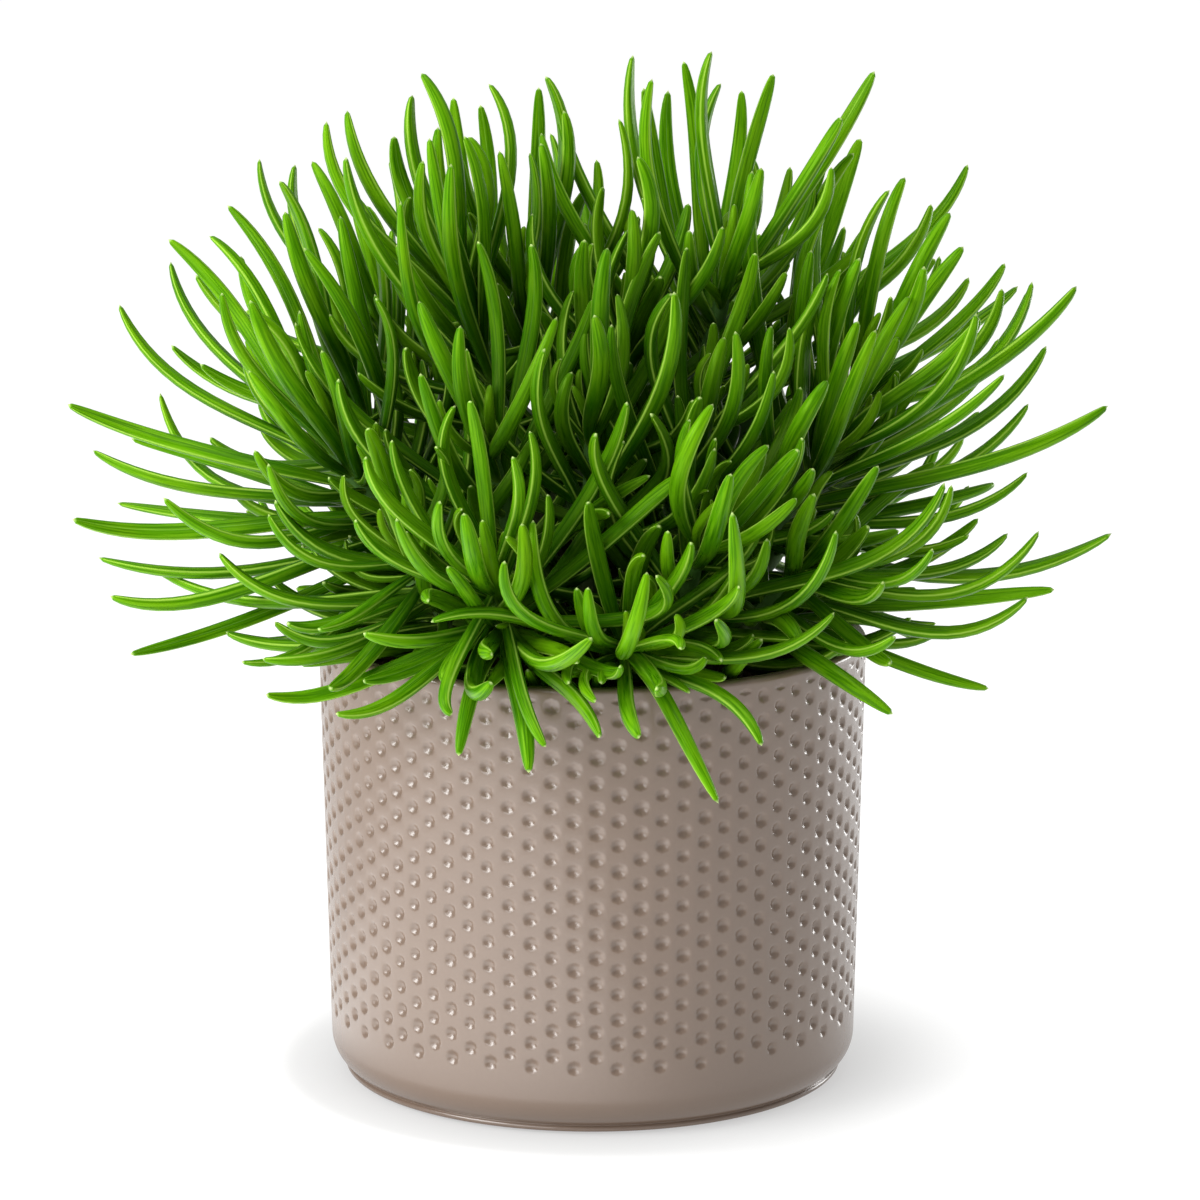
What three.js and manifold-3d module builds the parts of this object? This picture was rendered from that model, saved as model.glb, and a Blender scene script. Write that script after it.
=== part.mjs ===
// Potted Senecio archeri: a bushy succulent with finger-like leaves, in a tapered ceramic pot.
// Millimetres, +Z up. The origin is the middle of the pot's underside, and the front faces -Y.

import * as THREE from 'three';
import { mergeVertices } from 'three/addons/utils/BufferGeometryUtils.js';
import Module from 'manifold-3d';

// Pot: a cup turned about Z, with a small foot, a tapered wall and a round rim. The wall's lower edge
// curves in and stops at a step above the foot
const POT_HEIGHT = 122;
const RIM_RADIUS = 75;
const WALL_BOTTOM_RADIUS = 72.6;
const WALL_THICKNESS = 4.4;
const FOOT_RADIUS = 64;
const FOOT_HEIGHT = 1.3;
const EDGE_CURVE_RADIUS = 10;
const EDGE_CURVE_HEIGHT = 10.5;
const EDGE_CURVE_END = -0.63 * (Math.PI / 2);
const FLOOR_THICKNESS = 8;
const POT_FACETS = 40;
const EDGE_STEPS = 3;
const RIM_STEPS = 3;

// Potting soil, filled to a little below the rim, with a plain hole round each stem
const SOIL_TOP = 106;
const SOIL_CROWN = 2;
const SOIL_GAP = 0.3;
const HOLE_DEPTH = 22;
const HOLE_GAP = 0.4;
const HOLE_SIDES = 5;

// Stems: woody, upright in the soil, then leaning out to a crown of leaves
const STEM_FOOT_RADIUS = 3.1;
const STEM_CROWN_RADIUS = 2.1;
const STEM_SIDES = 5;
const STEM_STEPS = 3;
const STEM_COLLAR = 4;
const STEM_EASE = 0.35;

// Leaves: round fingers, widest in the middle, that leave the stem outwards and curve up. They are
// drawn with few sides, and swollen a little so that they are as broad as a round leaf
const LEAF_RADIUS = 2.2;
const LEAF_FACET_SWELL = 1.1;
const LEAF_RADIUS_SPREAD = 0.3;
const LEAF_ROOT_SHARE = 0.5;
const LEAF_WIDEST_AT = 0.5;
const LEAF_POINT_POWER = 2.8;
const LEAF_SIDES = 4;
const LEAF_RINGS = [0, 0.42, 0.87, 1];
const LEAF_BOW = 0.12;
const LEAF_BOW_SPREAD = 0.09;
const LEAF_SIDE_BOW = 0.12;
const LEAFY_LENGTH = 34;
const LEAFY_LOWEST = POT_HEIGHT + 4;

// Further leaves down each stem: turned by the golden angle, where there is still room for a tip
const GOLDEN_ANGLE = 2.39996;
const SPARE_TRIES = 40;
const SPARE_LENGTH_OF_STEM = 52;
const SPARE_TIP_GAP = 14;
const SPARE_LENGTH = 54;
const SPARE_LENGTH_SPREAD = 8;
const SPARE_LEAN_TOP = 0.3;
const SPARE_LEAN_RANGE = 1.15;
const SPARE_LEAN_SPREAD = 0.15;

// Bending clear: leaves that press on each other, on a stem or on the pot are bent apart. Known tips
// are drawn back to their places meanwhile, but not in the last, settling rounds
const BEND_ROUNDS = 70;
const SETTLING_ROUNDS = 20;
const TIP_PULL = 0.08;
const BEND_SAMPLES = 12;
const BEND_FROM = 0.12;
const BEND_FROM_SAME_STEM = 0.22;
const BEND_GAP = 1.5;
const BEND_STEP = 0.5;
const BEND_LIMIT = 2;
const SIDEWAYS_SHARE = 0.6;
const KEPT_GAP = 0.35;
const KEPT_SAMPLES = 32;

const SEED = 20260;
const SEED_FACTOR = 16807;
const SEED_MODULUS = 2147483647;

// Each stem: where it stands in the soil (x, y), its crown, about how many leaves it carries,
// and the tips of the leaves whose places are known, chosen by eye in whole millimetres
const STEMS = [
  {
    name: 'leafy_stem_left', root: [-26, -6], crown: [-70, -14, 174], leaves: 24,
    tips: [
      [-140, -22, 188], [-138, -34, 159], [-136, 0, 172], [-127, 14, 173], [-134, -14, 144],
      [-128, -38, 139], [-122, -48, 125], [-92, -56, 125], [-128, 0, 212], [-120, 26, 184],
      [-115, 6, 229], [-116, 22, 221], [-103, -4, 231], [-99, 8, 238], [-97, -38, 220],
      [-89, -46, 219], [-112, -52, 168], [-132, 20, 154], [-71, -40, 205], [-57, -34, 218],
      [-84, -58, 178],
    ],
  },
  {
    name: 'leafy_stem_left_upper', root: [-22, 14], crown: [-69, 20, 184], leaves: 14,
    tips: [
      [-86, 24, 243], [-83, 2, 237], [-77, -14, 229], [-75, 16, 231], [-68, 0, 236],
      [-65, 22, 239], [-63, 36, 235], [-78, -20, 213],
    ],
  },
  {
    name: 'leafy_stem_left_rear', root: [-20, 36], crown: [-56, 46, 195], leaves: 13,
    tips: [
      [-110, 56, 215], [-111, 42, 215], [-119, 50, 194], [-110, 40, 190], [-93, 46, 247],
      [-84, 60, 244], [-91, 66, 194],
    ],
  },
  {
    name: 'leafy_stem_top_left', root: [-9, 6], crown: [-35, 6, 216], leaves: 18,
    tips: [
      [-46, 4, 274], [-49, 18, 267], [-38, 22, 266], [-28, 6, 271], [-41, -12, 261],
      [-43, -22, 259], [-34, -16, 259], [-37, -30, 253], [-54, 16, 256], [-66, 4, 264],
      [-71, -6, 262], [-65, -22, 254], [-50, -38, 244], [-31, 34, 263],
    ],
  },
  {
    name: 'leafy_stem_top', root: [-6, 26], crown: [-17, 30, 209], leaves: 15,
    tips: [
      [-13, 32, 271], [-15, 44, 267], [-8, 26, 262], [-14, 6, 255], [-25, -4, 254],
      [7, 14, 261], [14, 32, 245], [1, 54, 246], [-3, 62, 235], [-12, 58, 253],
    ],
  },
  {
    name: 'leafy_stem_top_right', root: [12, 16], crown: [37, 12, 218], leaves: 20,
    tips: [
      [11, 16, 278], [14, 30, 268], [16, -2, 273], [25, 34, 275], [21, 46, 266],
      [32, 2, 280], [35, 20, 270], [41, 34, 267], [49, 14, 273], [67, 4, 262],
      [77, 24, 273], [65, 50, 244], [55, 44, 245], [61, 30, 241], [70, 38, 229],
      [-10, 40, 267], [-14, 26, 256],
    ],
  },
  {
    name: 'leafy_stem_right_rear', root: [22, 38], crown: [57, 44, 203], leaves: 13,
    tips: [
      [105, 50, 245], [97, 44, 220], [106, 52, 213], [122, 46, 210], [121, 64, 209],
      [78, 66, 226], [79, 18, 226], [75, 52, 252],
    ],
  },
  {
    name: 'leafy_stem_right_upper', root: [30, 16], crown: [74, 14, 186], leaves: 15,
    tips: [
      [85, 14, 245], [80, 0, 243], [97, 8, 236], [59, -2, 227], [63, 10, 235],
      [65, 22, 242], [88, -22, 225], [71, -20, 227], [43, 2, 248], [113, 18, 221],
    ],
  },
  {
    name: 'leafy_stem_right', root: [28, -6], crown: [65, -12, 175], leaves: 23,
    tips: [
      [138, -18, 187], [130, -8, 218], [119, 2, 218], [101, -34, 214], [103, -22, 211],
      [111, 12, 201], [125, 20, 198], [108, -42, 199], [119, 6, 184], [118, -6, 167],
      [140, -16, 152], [111, 16, 160], [74, -44, 211], [70, -34, 212], [61, -24, 221],
      [66, -20, 224], [47, -36, 211], [61, -54, 199], [57, -66, 178], [32, -60, 185],
    ],
  },
  {
    name: 'leafy_stem_middle_right', root: [10, -12], crown: [30, -24, 182], leaves: 12,
    tips: [
      [25, -22, 230], [21, -40, 220], [43, -26, 229], [5, -48, 213], [37, -54, 212],
      [47, -56, 202],
    ],
  },
  {
    name: 'leafy_stem_middle', root: [-1, -24], crown: [0, -32, 182], leaves: 12,
    tips: [
      [-2, -30, 233], [4, -40, 232], [18, -20, 234], [10, -4, 233], [-12, -72, 210],
      [21, -60, 223],
    ],
  },
  {
    name: 'leafy_stem_middle_left', root: [-14, -22], crown: [-27, -36, 178], leaves: 13,
    tips: [
      [-30, -34, 233], [-16, -40, 233], [-45, -48, 219], [-34, -58, 214], [-44, -68, 203],
      [-66, -50, 199], [-83, -50, 167], [-79, -22, 210],
    ],
  },
  {
    name: 'leafy_stem_front_left', root: [-20, -40], crown: [-25, -66, 148], leaves: 22,
    tips: [
      [-31, -82, 198], [-35, -70, 195], [-51, -76, 187], [-57, -90, 185], [-49, -100, 171],
      [-38, -98, 175], [-32, -104, 173], [-20, -96, 186], [-16, -74, 189], [16, -98, 156],
      [0, -112, 143], [7, -104, 134], [2, -106, 116], [-65, -96, 120], [-84, -78, 121],
      [-58, -92, 140], [9, -72, 196], [22, -74, 177], [-34, -92, 108], [-16, -98, 105],
    ],
  },
  {
    name: 'leafy_stem_front', root: [4, -44], crown: [9, -68, 132], leaves: 14,
    tips: [
      [32, -102, 98], [43, -98, 112], [16, -112, 130], [12, -106, 116], [22, -112, 140],
      [37, -98, 153], [62, -80, 143], [-1, -98, 153], [-1, -76, 171], [25, -90, 163],
      [-15, -80, 167], [-41, -88, 142],
    ],
  },
  {
    name: 'leafy_stem_front_right', root: [20, -30], crown: [28, -56, 156], leaves: 14,
    tips: [
      [62, -84, 165], [91, -64, 174], [54, -66, 186], [52, -86, 186], [45, -78, 186],
      [35, -92, 181], [25, -74, 192], [28, -56, 195], [1, -78, 189], [35, -102, 173],
      [31, -98, 145],
    ],
  },
  {
    name: 'leafy_stem_right_low', root: [36, -24], crown: [55, -32, 146], leaves: 15,
    tips: [
      [123, -34, 140], [115, -44, 140], [118, -40, 157], [88, -66, 157], [112, -16, 152],
      [105, -4, 154], [95, -16, 126], [106, -34, 113], [78, -70, 114], [78, -76, 136],
      [75, -70, 149], [88, 0, 119],
    ],
  },
  {
    name: 'leafy_stem_left_low', root: [-34, -24], crown: [-47, -44, 151], leaves: 12,
    tips: [
      [-84, -60, 165], [-86, -62, 127], [-98, -30, 128], [-70, -82, 139], [-67, -84, 124],
      [-87, -20, 141], [-119, -8, 142], [-84, -44, 133],
    ],
  },
  { name: 'leafy_stem_inner', root: [4, 2], crown: [8, 0, 204], leaves: 13, tips: [] },
  { name: 'leafy_stem_back_left', root: [-38, 36], crown: [-52, 52, 152], leaves: 13, tips: [] },
  { name: 'leafy_stem_back', root: [2, 48], crown: [6, 70, 168], leaves: 13, tips: [] },
  { name: 'leafy_stem_back_right', root: [38, 30], crown: [62, 44, 150], leaves: 13, tips: [] },
  { name: 'leafy_stem_back_low', root: [-16, 56], crown: [-22, 74, 142], leaves: 11, tips: [] },
  { name: 'leafy_stem_back_upper_left', root: [-8, 42], crown: [-26, 62, 192], leaves: 12, tips: [] },
  { name: 'leafy_stem_back_upper_right', root: [16, 50], crown: [30, 66, 190], leaves: 12, tips: [] },
];

const UP = new THREE.Vector3(0, 0, 1);

// Seeded draws between -1 and 1, by Park and Miller's rule
let drawState = SEED;
function draw() {
  drawState = (drawState * SEED_FACTOR) % SEED_MODULUS;
  return (drawState / SEED_MODULUS) * 2 - 1;
}

// A stem rises as a cubic from its collar in the soil to its crown
function stemCurve(stem) {
  const collar = new THREE.Vector3(stem.root[0], stem.root[1], SOIL_TOP + STEM_COLLAR);
  const crown = new THREE.Vector3(...stem.crown);
  const axis = crown.clone().sub(collar);
  const reach = axis.length();
  axis.normalize();
  const lower = collar.clone().addScaledVector(UP, STEM_EASE * reach);
  const upper = crown.clone().addScaledVector(axis, -STEM_EASE * reach);
  return { curve: new THREE.CubicBezierCurve3(collar, lower, upper, crown), axis, reach };
}

// Half width of a leaf at t, as a share of its widest: a narrow root, a full middle, a blunt point
function leafProfile(t) {
  const swelling = Math.sin((Math.min(t / LEAF_WIDEST_AT, 1) * Math.PI) / 2);
  const past = Math.max(0, (t - LEAF_WIDEST_AT) / (1 - LEAF_WIDEST_AT));
  const tapering = Math.sqrt(Math.max(0, 1 - past ** LEAF_POINT_POWER));
  return (LEAF_ROOT_SHARE + (1 - LEAF_ROOT_SHARE) * swelling) * tapering;
}

// A leaf is a quadratic curve from its root on the stem to its tip, bowed down and outwards, and a
// little to one side
function bowedLeaf(stemIndex, root, tip, axis, spare) {
  const chord = tip.clone().sub(root);
  const length = chord.length();
  const way = chord.clone().normalize();
  const out = way.clone().addScaledVector(axis, -way.dot(axis)).normalize();
  const bow = out.addScaledVector(way, -out.dot(way)).sub(UP).addScaledVector(way, way.z);
  const middle = root.clone().add(tip).multiplyScalar(0.5);
  middle.addScaledVector(bow, (LEAF_BOW + LEAF_BOW_SPREAD * draw()) * length);
  middle.addScaledVector(way.cross(axis).normalize(), LEAF_SIDE_BOW * draw() * length);
  const radius = LEAF_RADIUS + LEAF_RADIUS_SPREAD * draw();
  return { stemIndex, root, middle, tip, knownTip: tip.clone(), radius, spare };
}

// The share of a stem's curve that carries leaves, counted down from the crown
function shareOf(stem, reach, length) {
  const rise = stem.crown[2] - SOIL_TOP;
  return Math.min(length / reach, (stem.crown[2] - LEAFY_LOWEST) / rise);
}

// Leaves with known tips: those that lean furthest from the stem's axis grow lowest on it
function knownLeaves(stem, stemIndex) {
  const { curve, axis, reach } = stemCurve(stem);
  const crown = new THREE.Vector3(...stem.crown);
  const along = (tip) => tip.clone().sub(crown).normalize().dot(axis);
  const tips = stem.tips.map((tip) => new THREE.Vector3(...tip)).sort((p, q) => along(q) - along(p));
  const leafyShare = shareOf(stem, reach, LEAFY_LENGTH);
  return tips.map((tip, i) => {
    const root = curve.getPoint(1 - (leafyShare * (i + 0.5)) / tips.length);
    return bowedLeaf(stemIndex, root, tip, axis, false);
  });
}

// Further leaves: a golden-angle spiral down the stem, where its leaves leave room for a tip
function spareLeaves(stem, stemIndex, known) {
  const { curve, axis, reach } = stemCurve(stem);
  const side = new THREE.Vector3(1, 0, 0).cross(axis).normalize();
  const other = axis.clone().cross(side);
  const wanted = stem.leaves - known.length;
  const spareShare = shareOf(stem, reach, SPARE_LENGTH_OF_STEM);
  const spares = [];
  for (let k = 0; k < SPARE_TRIES && spares.length < wanted; k += 1) {
    const turn = k * GOLDEN_ANGLE;
    const down = ((k % wanted) + 0.5) / wanted;
    const lean = SPARE_LEAN_TOP + SPARE_LEAN_RANGE * down + SPARE_LEAN_SPREAD * draw();
    const length = SPARE_LENGTH + SPARE_LENGTH_SPREAD * draw();
    const root = curve.getPoint(1 - spareShare * down);
    const tip = root.clone().addScaledVector(axis, length * Math.cos(lean));
    tip.addScaledVector(side, length * Math.sin(lean) * Math.cos(turn));
    tip.addScaledVector(other, length * Math.sin(lean) * Math.sin(turn));
    const taken = [...known, ...spares].some((leaf) => leaf.tip.distanceTo(tip) < SPARE_TIP_GAP);
    if (!taken) spares.push(bowedLeaf(stemIndex, root, tip, axis, true));
  }
  return spares;
}

function leavesOf(stem, stemIndex) {
  const known = knownLeaves(stem, stemIndex);
  return [...known, ...spareLeaves(stem, stemIndex, known)];
}

function leafPoint(leaf, t) {
  return new THREE.Vector3()
    .addScaledVector(leaf.root, (1 - t) * (1 - t))
    .addScaledVector(leaf.middle, 2 * t * (1 - t))
    .addScaledVector(leaf.tip, t * t);
}

// The rings that a leaf and a stem are drawn with, from root to end
function leafRings(leaf) {
  const drawnRadius = leaf.radius * LEAF_FACET_SWELL;
  return LEAF_RINGS.map((t) => ({ t, at: leafPoint(leaf, t), radius: drawnRadius * leafProfile(t) }));
}

function stemRings(curve) {
  return Array.from({ length: STEM_STEPS + 1 }, (_, i) => {
    const t = i / STEM_STEPS;
    const radius = STEM_FOOT_RADIUS + (STEM_CROWN_RADIUS - STEM_FOOT_RADIUS) * t;
    return { t, at: curve.getPoint(t), radius };
  });
}

// Evenly spaced points on the straight stretches between a strand's rings
function samplesOf(rings, from, count) {
  return Array.from({ length: count }, (_, i) => {
    const t = from + ((1 - from) * i) / (count - 1);
    const next = Math.max(1, rings.findIndex((ring) => ring.t >= t));
    const a = rings[next - 1];
    const b = rings[next];
    const share = (t - a.t) / (b.t - a.t);
    return { t, at: a.at.clone().lerp(b.at, share), r: a.radius + (b.radius - a.radius) * share };
  });
}

// The pair of samples of two strands that press on each other most, for a wanted gap
function worstPair(first, second, gap, from) {
  let worst = null;
  let most = 0;
  for (const a of first) {
    if (a.t < from) continue;
    for (const b of second) {
      if (b.t < from) continue;
      const wanted = a.r + b.r + gap;
      const dx = a.at.x - b.at.x;
      const dy = a.at.y - b.at.y;
      const dz = a.at.z - b.at.z;
      const square = dx * dx + dy * dy + dz * dz;
      if (square >= wanted * wanted) continue;
      const press = wanted - Math.sqrt(square);
      if (press > most) {
        most = press;
        worst = { a, b, press };
      }
    }
  }
  return worst;
}

// How far a sample has to move to be clear of the pot's wall and the soil
function pushOffPot(sample) {
  const keep = sample.r + BEND_GAP;
  const radius = Math.hypot(sample.at.x, sample.at.y);
  const inner = RIM_RADIUS - WALL_THICKNESS;
  const push = new THREE.Vector3();
  if (radius < inner && sample.at.z < SOIL_TOP + SOIL_CROWN + keep) {
    push.z = SOIL_TOP + SOIL_CROWN + keep - sample.at.z;
    return push;
  }
  const nearestRadius = Math.min(Math.max(radius, inner), RIM_RADIUS);
  const nearestZ = Math.min(sample.at.z, POT_HEIGHT);
  const dr = radius - nearestRadius;
  const dz = sample.at.z - nearestZ;
  const distance = Math.hypot(dr, dz);
  if (distance >= keep) return push;
  const outwards = distance > 0 ? dr / distance : 0;
  const upwards = distance > 0 ? dz / distance : 1;
  push.set(sample.at.x, sample.at.y, 0).multiplyScalar((outwards * (keep - distance)) / radius);
  push.z = upwards * (keep - distance);
  return push;
}

// Bends a leaf so that its point at t moves by the given step; its root stays on the stem
function bend(leaf, t, step) {
  const middleShare = 2 * t * (1 - t);
  const tipShare = t * t;
  const scale = 1 / (middleShare * middleShare + tipShare * tipShare);
  leaf.middleMove.addScaledVector(step, scale * middleShare);
  leaf.tipMove.addScaledVector(step, scale * tipShare);
}

function reachOf(leaf) {
  const centre = leaf.root.clone().add(leaf.tip).multiplyScalar(0.5);
  return { centre, radius: leaf.tip.distanceTo(leaf.root) * 0.5 + BEND_LIMIT };
}

function bendApart(leaves, stemStrands) {
  const step = new THREE.Vector3();
  for (let round = 0; round < BEND_ROUNDS; round += 1) {
    const strands = leaves.map((leaf) => samplesOf(leafRings(leaf), BEND_FROM, BEND_SAMPLES));
    const reaches = leaves.map(reachOf);
    leaves.forEach((leaf) => {
      leaf.middleMove = new THREE.Vector3();
      leaf.tipMove = new THREE.Vector3();
    });
    const pushPair = (worst, leafA, leafB, share) => {
      step.copy(worst.a.at).sub(worst.b.at).normalize();
      step.multiplyScalar(worst.press * share);
      step.x *= SIDEWAYS_SHARE;
      step.z *= SIDEWAYS_SHARE;
      bend(leafA, worst.a.t, step);
      if (leafB) bend(leafB, worst.b.t, step.negate());
    };
    for (let i = 0; i < leaves.length; i += 1) {
      for (let j = i + 1; j < leaves.length; j += 1) {
        const apart = reaches[i].centre.distanceTo(reaches[j].centre);
        if (apart > reaches[i].radius + reaches[j].radius + LEAF_RADIUS * 2) continue;
        const sameStem = leaves[i].stemIndex === leaves[j].stemIndex;
        const from = sameStem ? BEND_FROM_SAME_STEM : 0;
        const worst = worstPair(strands[i], strands[j], BEND_GAP, from);
        if (worst) pushPair(worst, leaves[i], leaves[j], BEND_STEP);
      }
      stemStrands.forEach((strand, stemIndex) => {
        if (stemIndex === leaves[i].stemIndex) return;
        const worst = worstPair(strands[i], strand, BEND_GAP, 0);
        if (worst) pushPair(worst, leaves[i], null, 2 * BEND_STEP);
      });
      strands[i].forEach((sample) => {
        const push = pushOffPot(sample);
        if (push.lengthSq() > 0) bend(leaves[i], sample.t, push.multiplyScalar(BEND_STEP));
      });
    }
    leaves.forEach((leaf) => {
      if (!leaf.spare && round < BEND_ROUNDS - SETTLING_ROUNDS) {
        leaf.tipMove.addScaledVector(leaf.knownTip.clone().sub(leaf.tip), TIP_PULL);
      }
      leaf.middle.add(leaf.middleMove.clampLength(0, BEND_LIMIT));
      leaf.tip.add(leaf.tipMove.clampLength(0, BEND_LIMIT));
    });
  }
}

// Leaves that still touch another stem or its leaves are left out: the spare ones, and in the
// last round the known ones too
function keepClear(leaves, stemStrands, lastRound) {
  const strands = leaves.map((leaf) => samplesOf(leafRings(leaf), 0, KEPT_SAMPLES));
  const isApart = (i, strand) => worstPair(strands[i], strand, KEPT_GAP, 0) === null;
  const kept = [];
  const order = leaves.map((leaf, i) => i).sort((a, b) => leaves[a].spare - leaves[b].spare || a - b);
  for (const i of order) {
    const stem = leaves[i].stemIndex;
    const clearOfLeaves = () => kept.every((j) => leaves[j].stemIndex === stem || isApart(i, strands[j]));
    const clearOfStems = () => stemStrands.every((strand, j) => j === stem || isApart(i, strand));
    const stays = !leaves[i].spare && !lastRound;
    if (stays || (clearOfLeaves() && clearOfStems())) kept.push(i);
  }
  return kept.sort((a, b) => a - b).map((i) => leaves[i]);
}

const wasm = await Module();
wasm.setup();

function toSolid(geometry) {
  const plain = geometry.clone();
  plain.deleteAttribute('normal');
  plain.deleteAttribute('uv');
  const merged = mergeVertices(plain);
  const vertProperties = new Float32Array(merged.attributes.position.array);
  const triVerts = new Uint32Array(merged.index.array);
  return new wasm.Manifold(new wasm.Mesh({ numProp: 3, vertProperties, triVerts }));
}

function toGeometry(solid) {
  const mesh = solid.getMesh();
  const geometry = new THREE.BufferGeometry();
  geometry.setAttribute('position', new THREE.BufferAttribute(new Float32Array(mesh.vertProperties), 3));
  geometry.setIndex(new THREE.BufferAttribute(new Uint32Array(mesh.triVerts), 1));
  const faceted = geometry.toNonIndexed();
  faceted.computeVertexNormals();
  return faceted;
}

// A closed strand: rings of a few sides, with a flat start and either a flat or a pointed end
function strandGeometry(rings, sides, point) {
  const positions = [];
  const index = [];
  rings.forEach((ring) => {
    for (let k = 0; k < sides; k += 1) {
      const turn = (k * 2 * Math.PI) / sides;
      const at = ring.at.clone();
      at.addScaledVector(ring.across, ring.radius * Math.cos(turn));
      at.addScaledVector(ring.over, ring.radius * Math.sin(turn));
      positions.push(at.x, at.y, at.z);
    }
  });
  for (let i = 0; i + 1 < rings.length; i += 1) {
    for (let k = 0; k < sides; k += 1) {
      const next = (k + 1) % sides;
      const a = i * sides + k;
      const b = i * sides + next;
      index.push(a, b, a + sides, b, b + sides, a + sides);
    }
  }
  for (let k = 1; k + 1 < sides; k += 1) index.push(0, k + 1, k);
  const last = (rings.length - 1) * sides;
  if (point) {
    positions.push(point.x, point.y, point.z);
    for (let k = 0; k < sides; k += 1) index.push(last + k, last + ((k + 1) % sides), last + sides);
  } else {
    for (let k = 1; k + 1 < sides; k += 1) index.push(last, last + k, last + k + 1);
  }
  const geometry = new THREE.BufferGeometry();
  geometry.setAttribute('position', new THREE.Float32BufferAttribute(positions, 3));
  geometry.setIndex(index);
  return geometry;
}

// across, over and the way along the strand form a right-handed frame
function frameAcross(way, hint) {
  const across = hint.clone().addScaledVector(way, -hint.dot(way)).normalize();
  return { across, over: way.clone().cross(across) };
}

function leafGeometry(leaf) {
  const curve = new THREE.QuadraticBezierCurve3(leaf.root, leaf.middle, leaf.tip);
  const upperSide = leaf.root.clone().add(leaf.tip).multiplyScalar(0.5).sub(leaf.middle);
  const rings = leafRings(leaf).slice(0, -1);
  rings.forEach((ring) => Object.assign(ring, frameAcross(curve.getTangent(ring.t), upperSide)));
  return strandGeometry(rings, LEAF_SIDES, leaf.tip);
}

function stemGeometry(stem) {
  const { curve } = stemCurve(stem);
  const hint = new THREE.Vector3(1, 0, 0);
  const buried = new THREE.Vector3(stem.root[0], stem.root[1], SOIL_TOP - HOLE_DEPTH + HOLE_GAP);
  const rings = stemRings(curve);
  rings.forEach((ring) => Object.assign(ring, frameAcross(curve.getTangent(ring.t), hint)));
  const foot = { at: buried, radius: STEM_FOOT_RADIUS, ...frameAcross(UP, hint) };
  return strandGeometry([foot, ...rings], STEM_SIDES, null);
}

function leafyStemGeometry(stem, leaves) {
  const solids = [toSolid(stemGeometry(stem)), ...leaves.map((leaf) => toSolid(leafGeometry(leaf)))];
  return toGeometry(wasm.Manifold.union(solids));
}

// Points of an arc in the (radius, height) plane
function arc(centreR, centreZ, radius, fromAngle, toAngle, steps) {
  const points = [];
  for (let i = 0; i <= steps; i += 1) {
    const turn = fromAngle + ((toAngle - fromAngle) * i) / steps;
    points.push(new THREE.Vector2(centreR + radius * Math.cos(turn), centreZ + radius * Math.sin(turn)));
  }
  return points;
}

// LatheGeometry turns about Y, so the result is stood up along Z
function turned(points) {
  return new THREE.LatheGeometry(points, POT_FACETS).rotateX(Math.PI / 2);
}

function potGeometry() {
  const edgeCentreR = WALL_BOTTOM_RADIUS - EDGE_CURVE_RADIUS;
  const innerBottom = WALL_BOTTOM_RADIUS - WALL_THICKNESS;
  const innerCurve = EDGE_CURVE_RADIUS - WALL_THICKNESS;
  const rimCurve = WALL_THICKNESS / 2;
  return turned([
    new THREE.Vector2(0, 0),
    new THREE.Vector2(FOOT_RADIUS, 0),
    new THREE.Vector2(FOOT_RADIUS, FOOT_HEIGHT),
    ...arc(edgeCentreR, EDGE_CURVE_HEIGHT, EDGE_CURVE_RADIUS, EDGE_CURVE_END, 0, EDGE_STEPS),
    ...arc(RIM_RADIUS - rimCurve, POT_HEIGHT - rimCurve, rimCurve, 0, Math.PI, RIM_STEPS),
    new THREE.Vector2(innerBottom, FLOOR_THICKNESS + innerCurve),
    new THREE.Vector2(innerBottom - innerCurve, FLOOR_THICKNESS),
    new THREE.Vector2(0, FLOOR_THICKNESS),
  ]);
}

function soilGeometry() {
  const innerBottom = WALL_BOTTOM_RADIUS - WALL_THICKNESS - SOIL_GAP;
  const innerTop = RIM_RADIUS - WALL_THICKNESS - SOIL_GAP;
  const curve = EDGE_CURVE_RADIUS - WALL_THICKNESS;
  const wallFrom = FLOOR_THICKNESS + curve + SOIL_GAP;
  const wallTo = POT_HEIGHT - WALL_THICKNESS / 2;
  const topRadius = innerBottom + ((innerTop - innerBottom) * (SOIL_TOP - wallFrom)) / (wallTo - wallFrom);
  const body = turned([
    new THREE.Vector2(0, FLOOR_THICKNESS + SOIL_GAP),
    new THREE.Vector2(innerBottom - curve - SOIL_GAP, FLOOR_THICKNESS + SOIL_GAP),
    new THREE.Vector2(innerBottom, wallFrom),
    new THREE.Vector2(topRadius, SOIL_TOP),
    new THREE.Vector2(0, SOIL_TOP + SOIL_CROWN),
  ]);
  const holes = STEMS.map((stem) => {
    const radius = (STEM_FOOT_RADIUS + HOLE_GAP) / Math.cos(Math.PI / HOLE_SIDES);
    const hole = new THREE.CylinderGeometry(radius, radius, 2 * HOLE_DEPTH, HOLE_SIDES);
    hole.rotateX(Math.PI / 2);
    return toSolid(hole.translate(stem.root[0], stem.root[1], SOIL_TOP));
  });
  return toGeometry(toSolid(body).subtract(wasm.Manifold.union(holes)));
}

const ceramic = new THREE.MeshStandardMaterial({ color: 0xa8988a, roughness: 0.38, metalness: 0 });
const pottingSoil = new THREE.MeshStandardMaterial({ color: 0x3b2c20, roughness: 0.95, metalness: 0 });
const leafGreen = new THREE.MeshStandardMaterial({ color: 0x4f9a1c, roughness: 0.45, metalness: 0 });

const plant = new THREE.Group();

function addMesh(name, geometry, material) {
  const mesh = new THREE.Mesh(geometry, material);
  mesh.name = name;
  plant.add(mesh);
}

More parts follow.
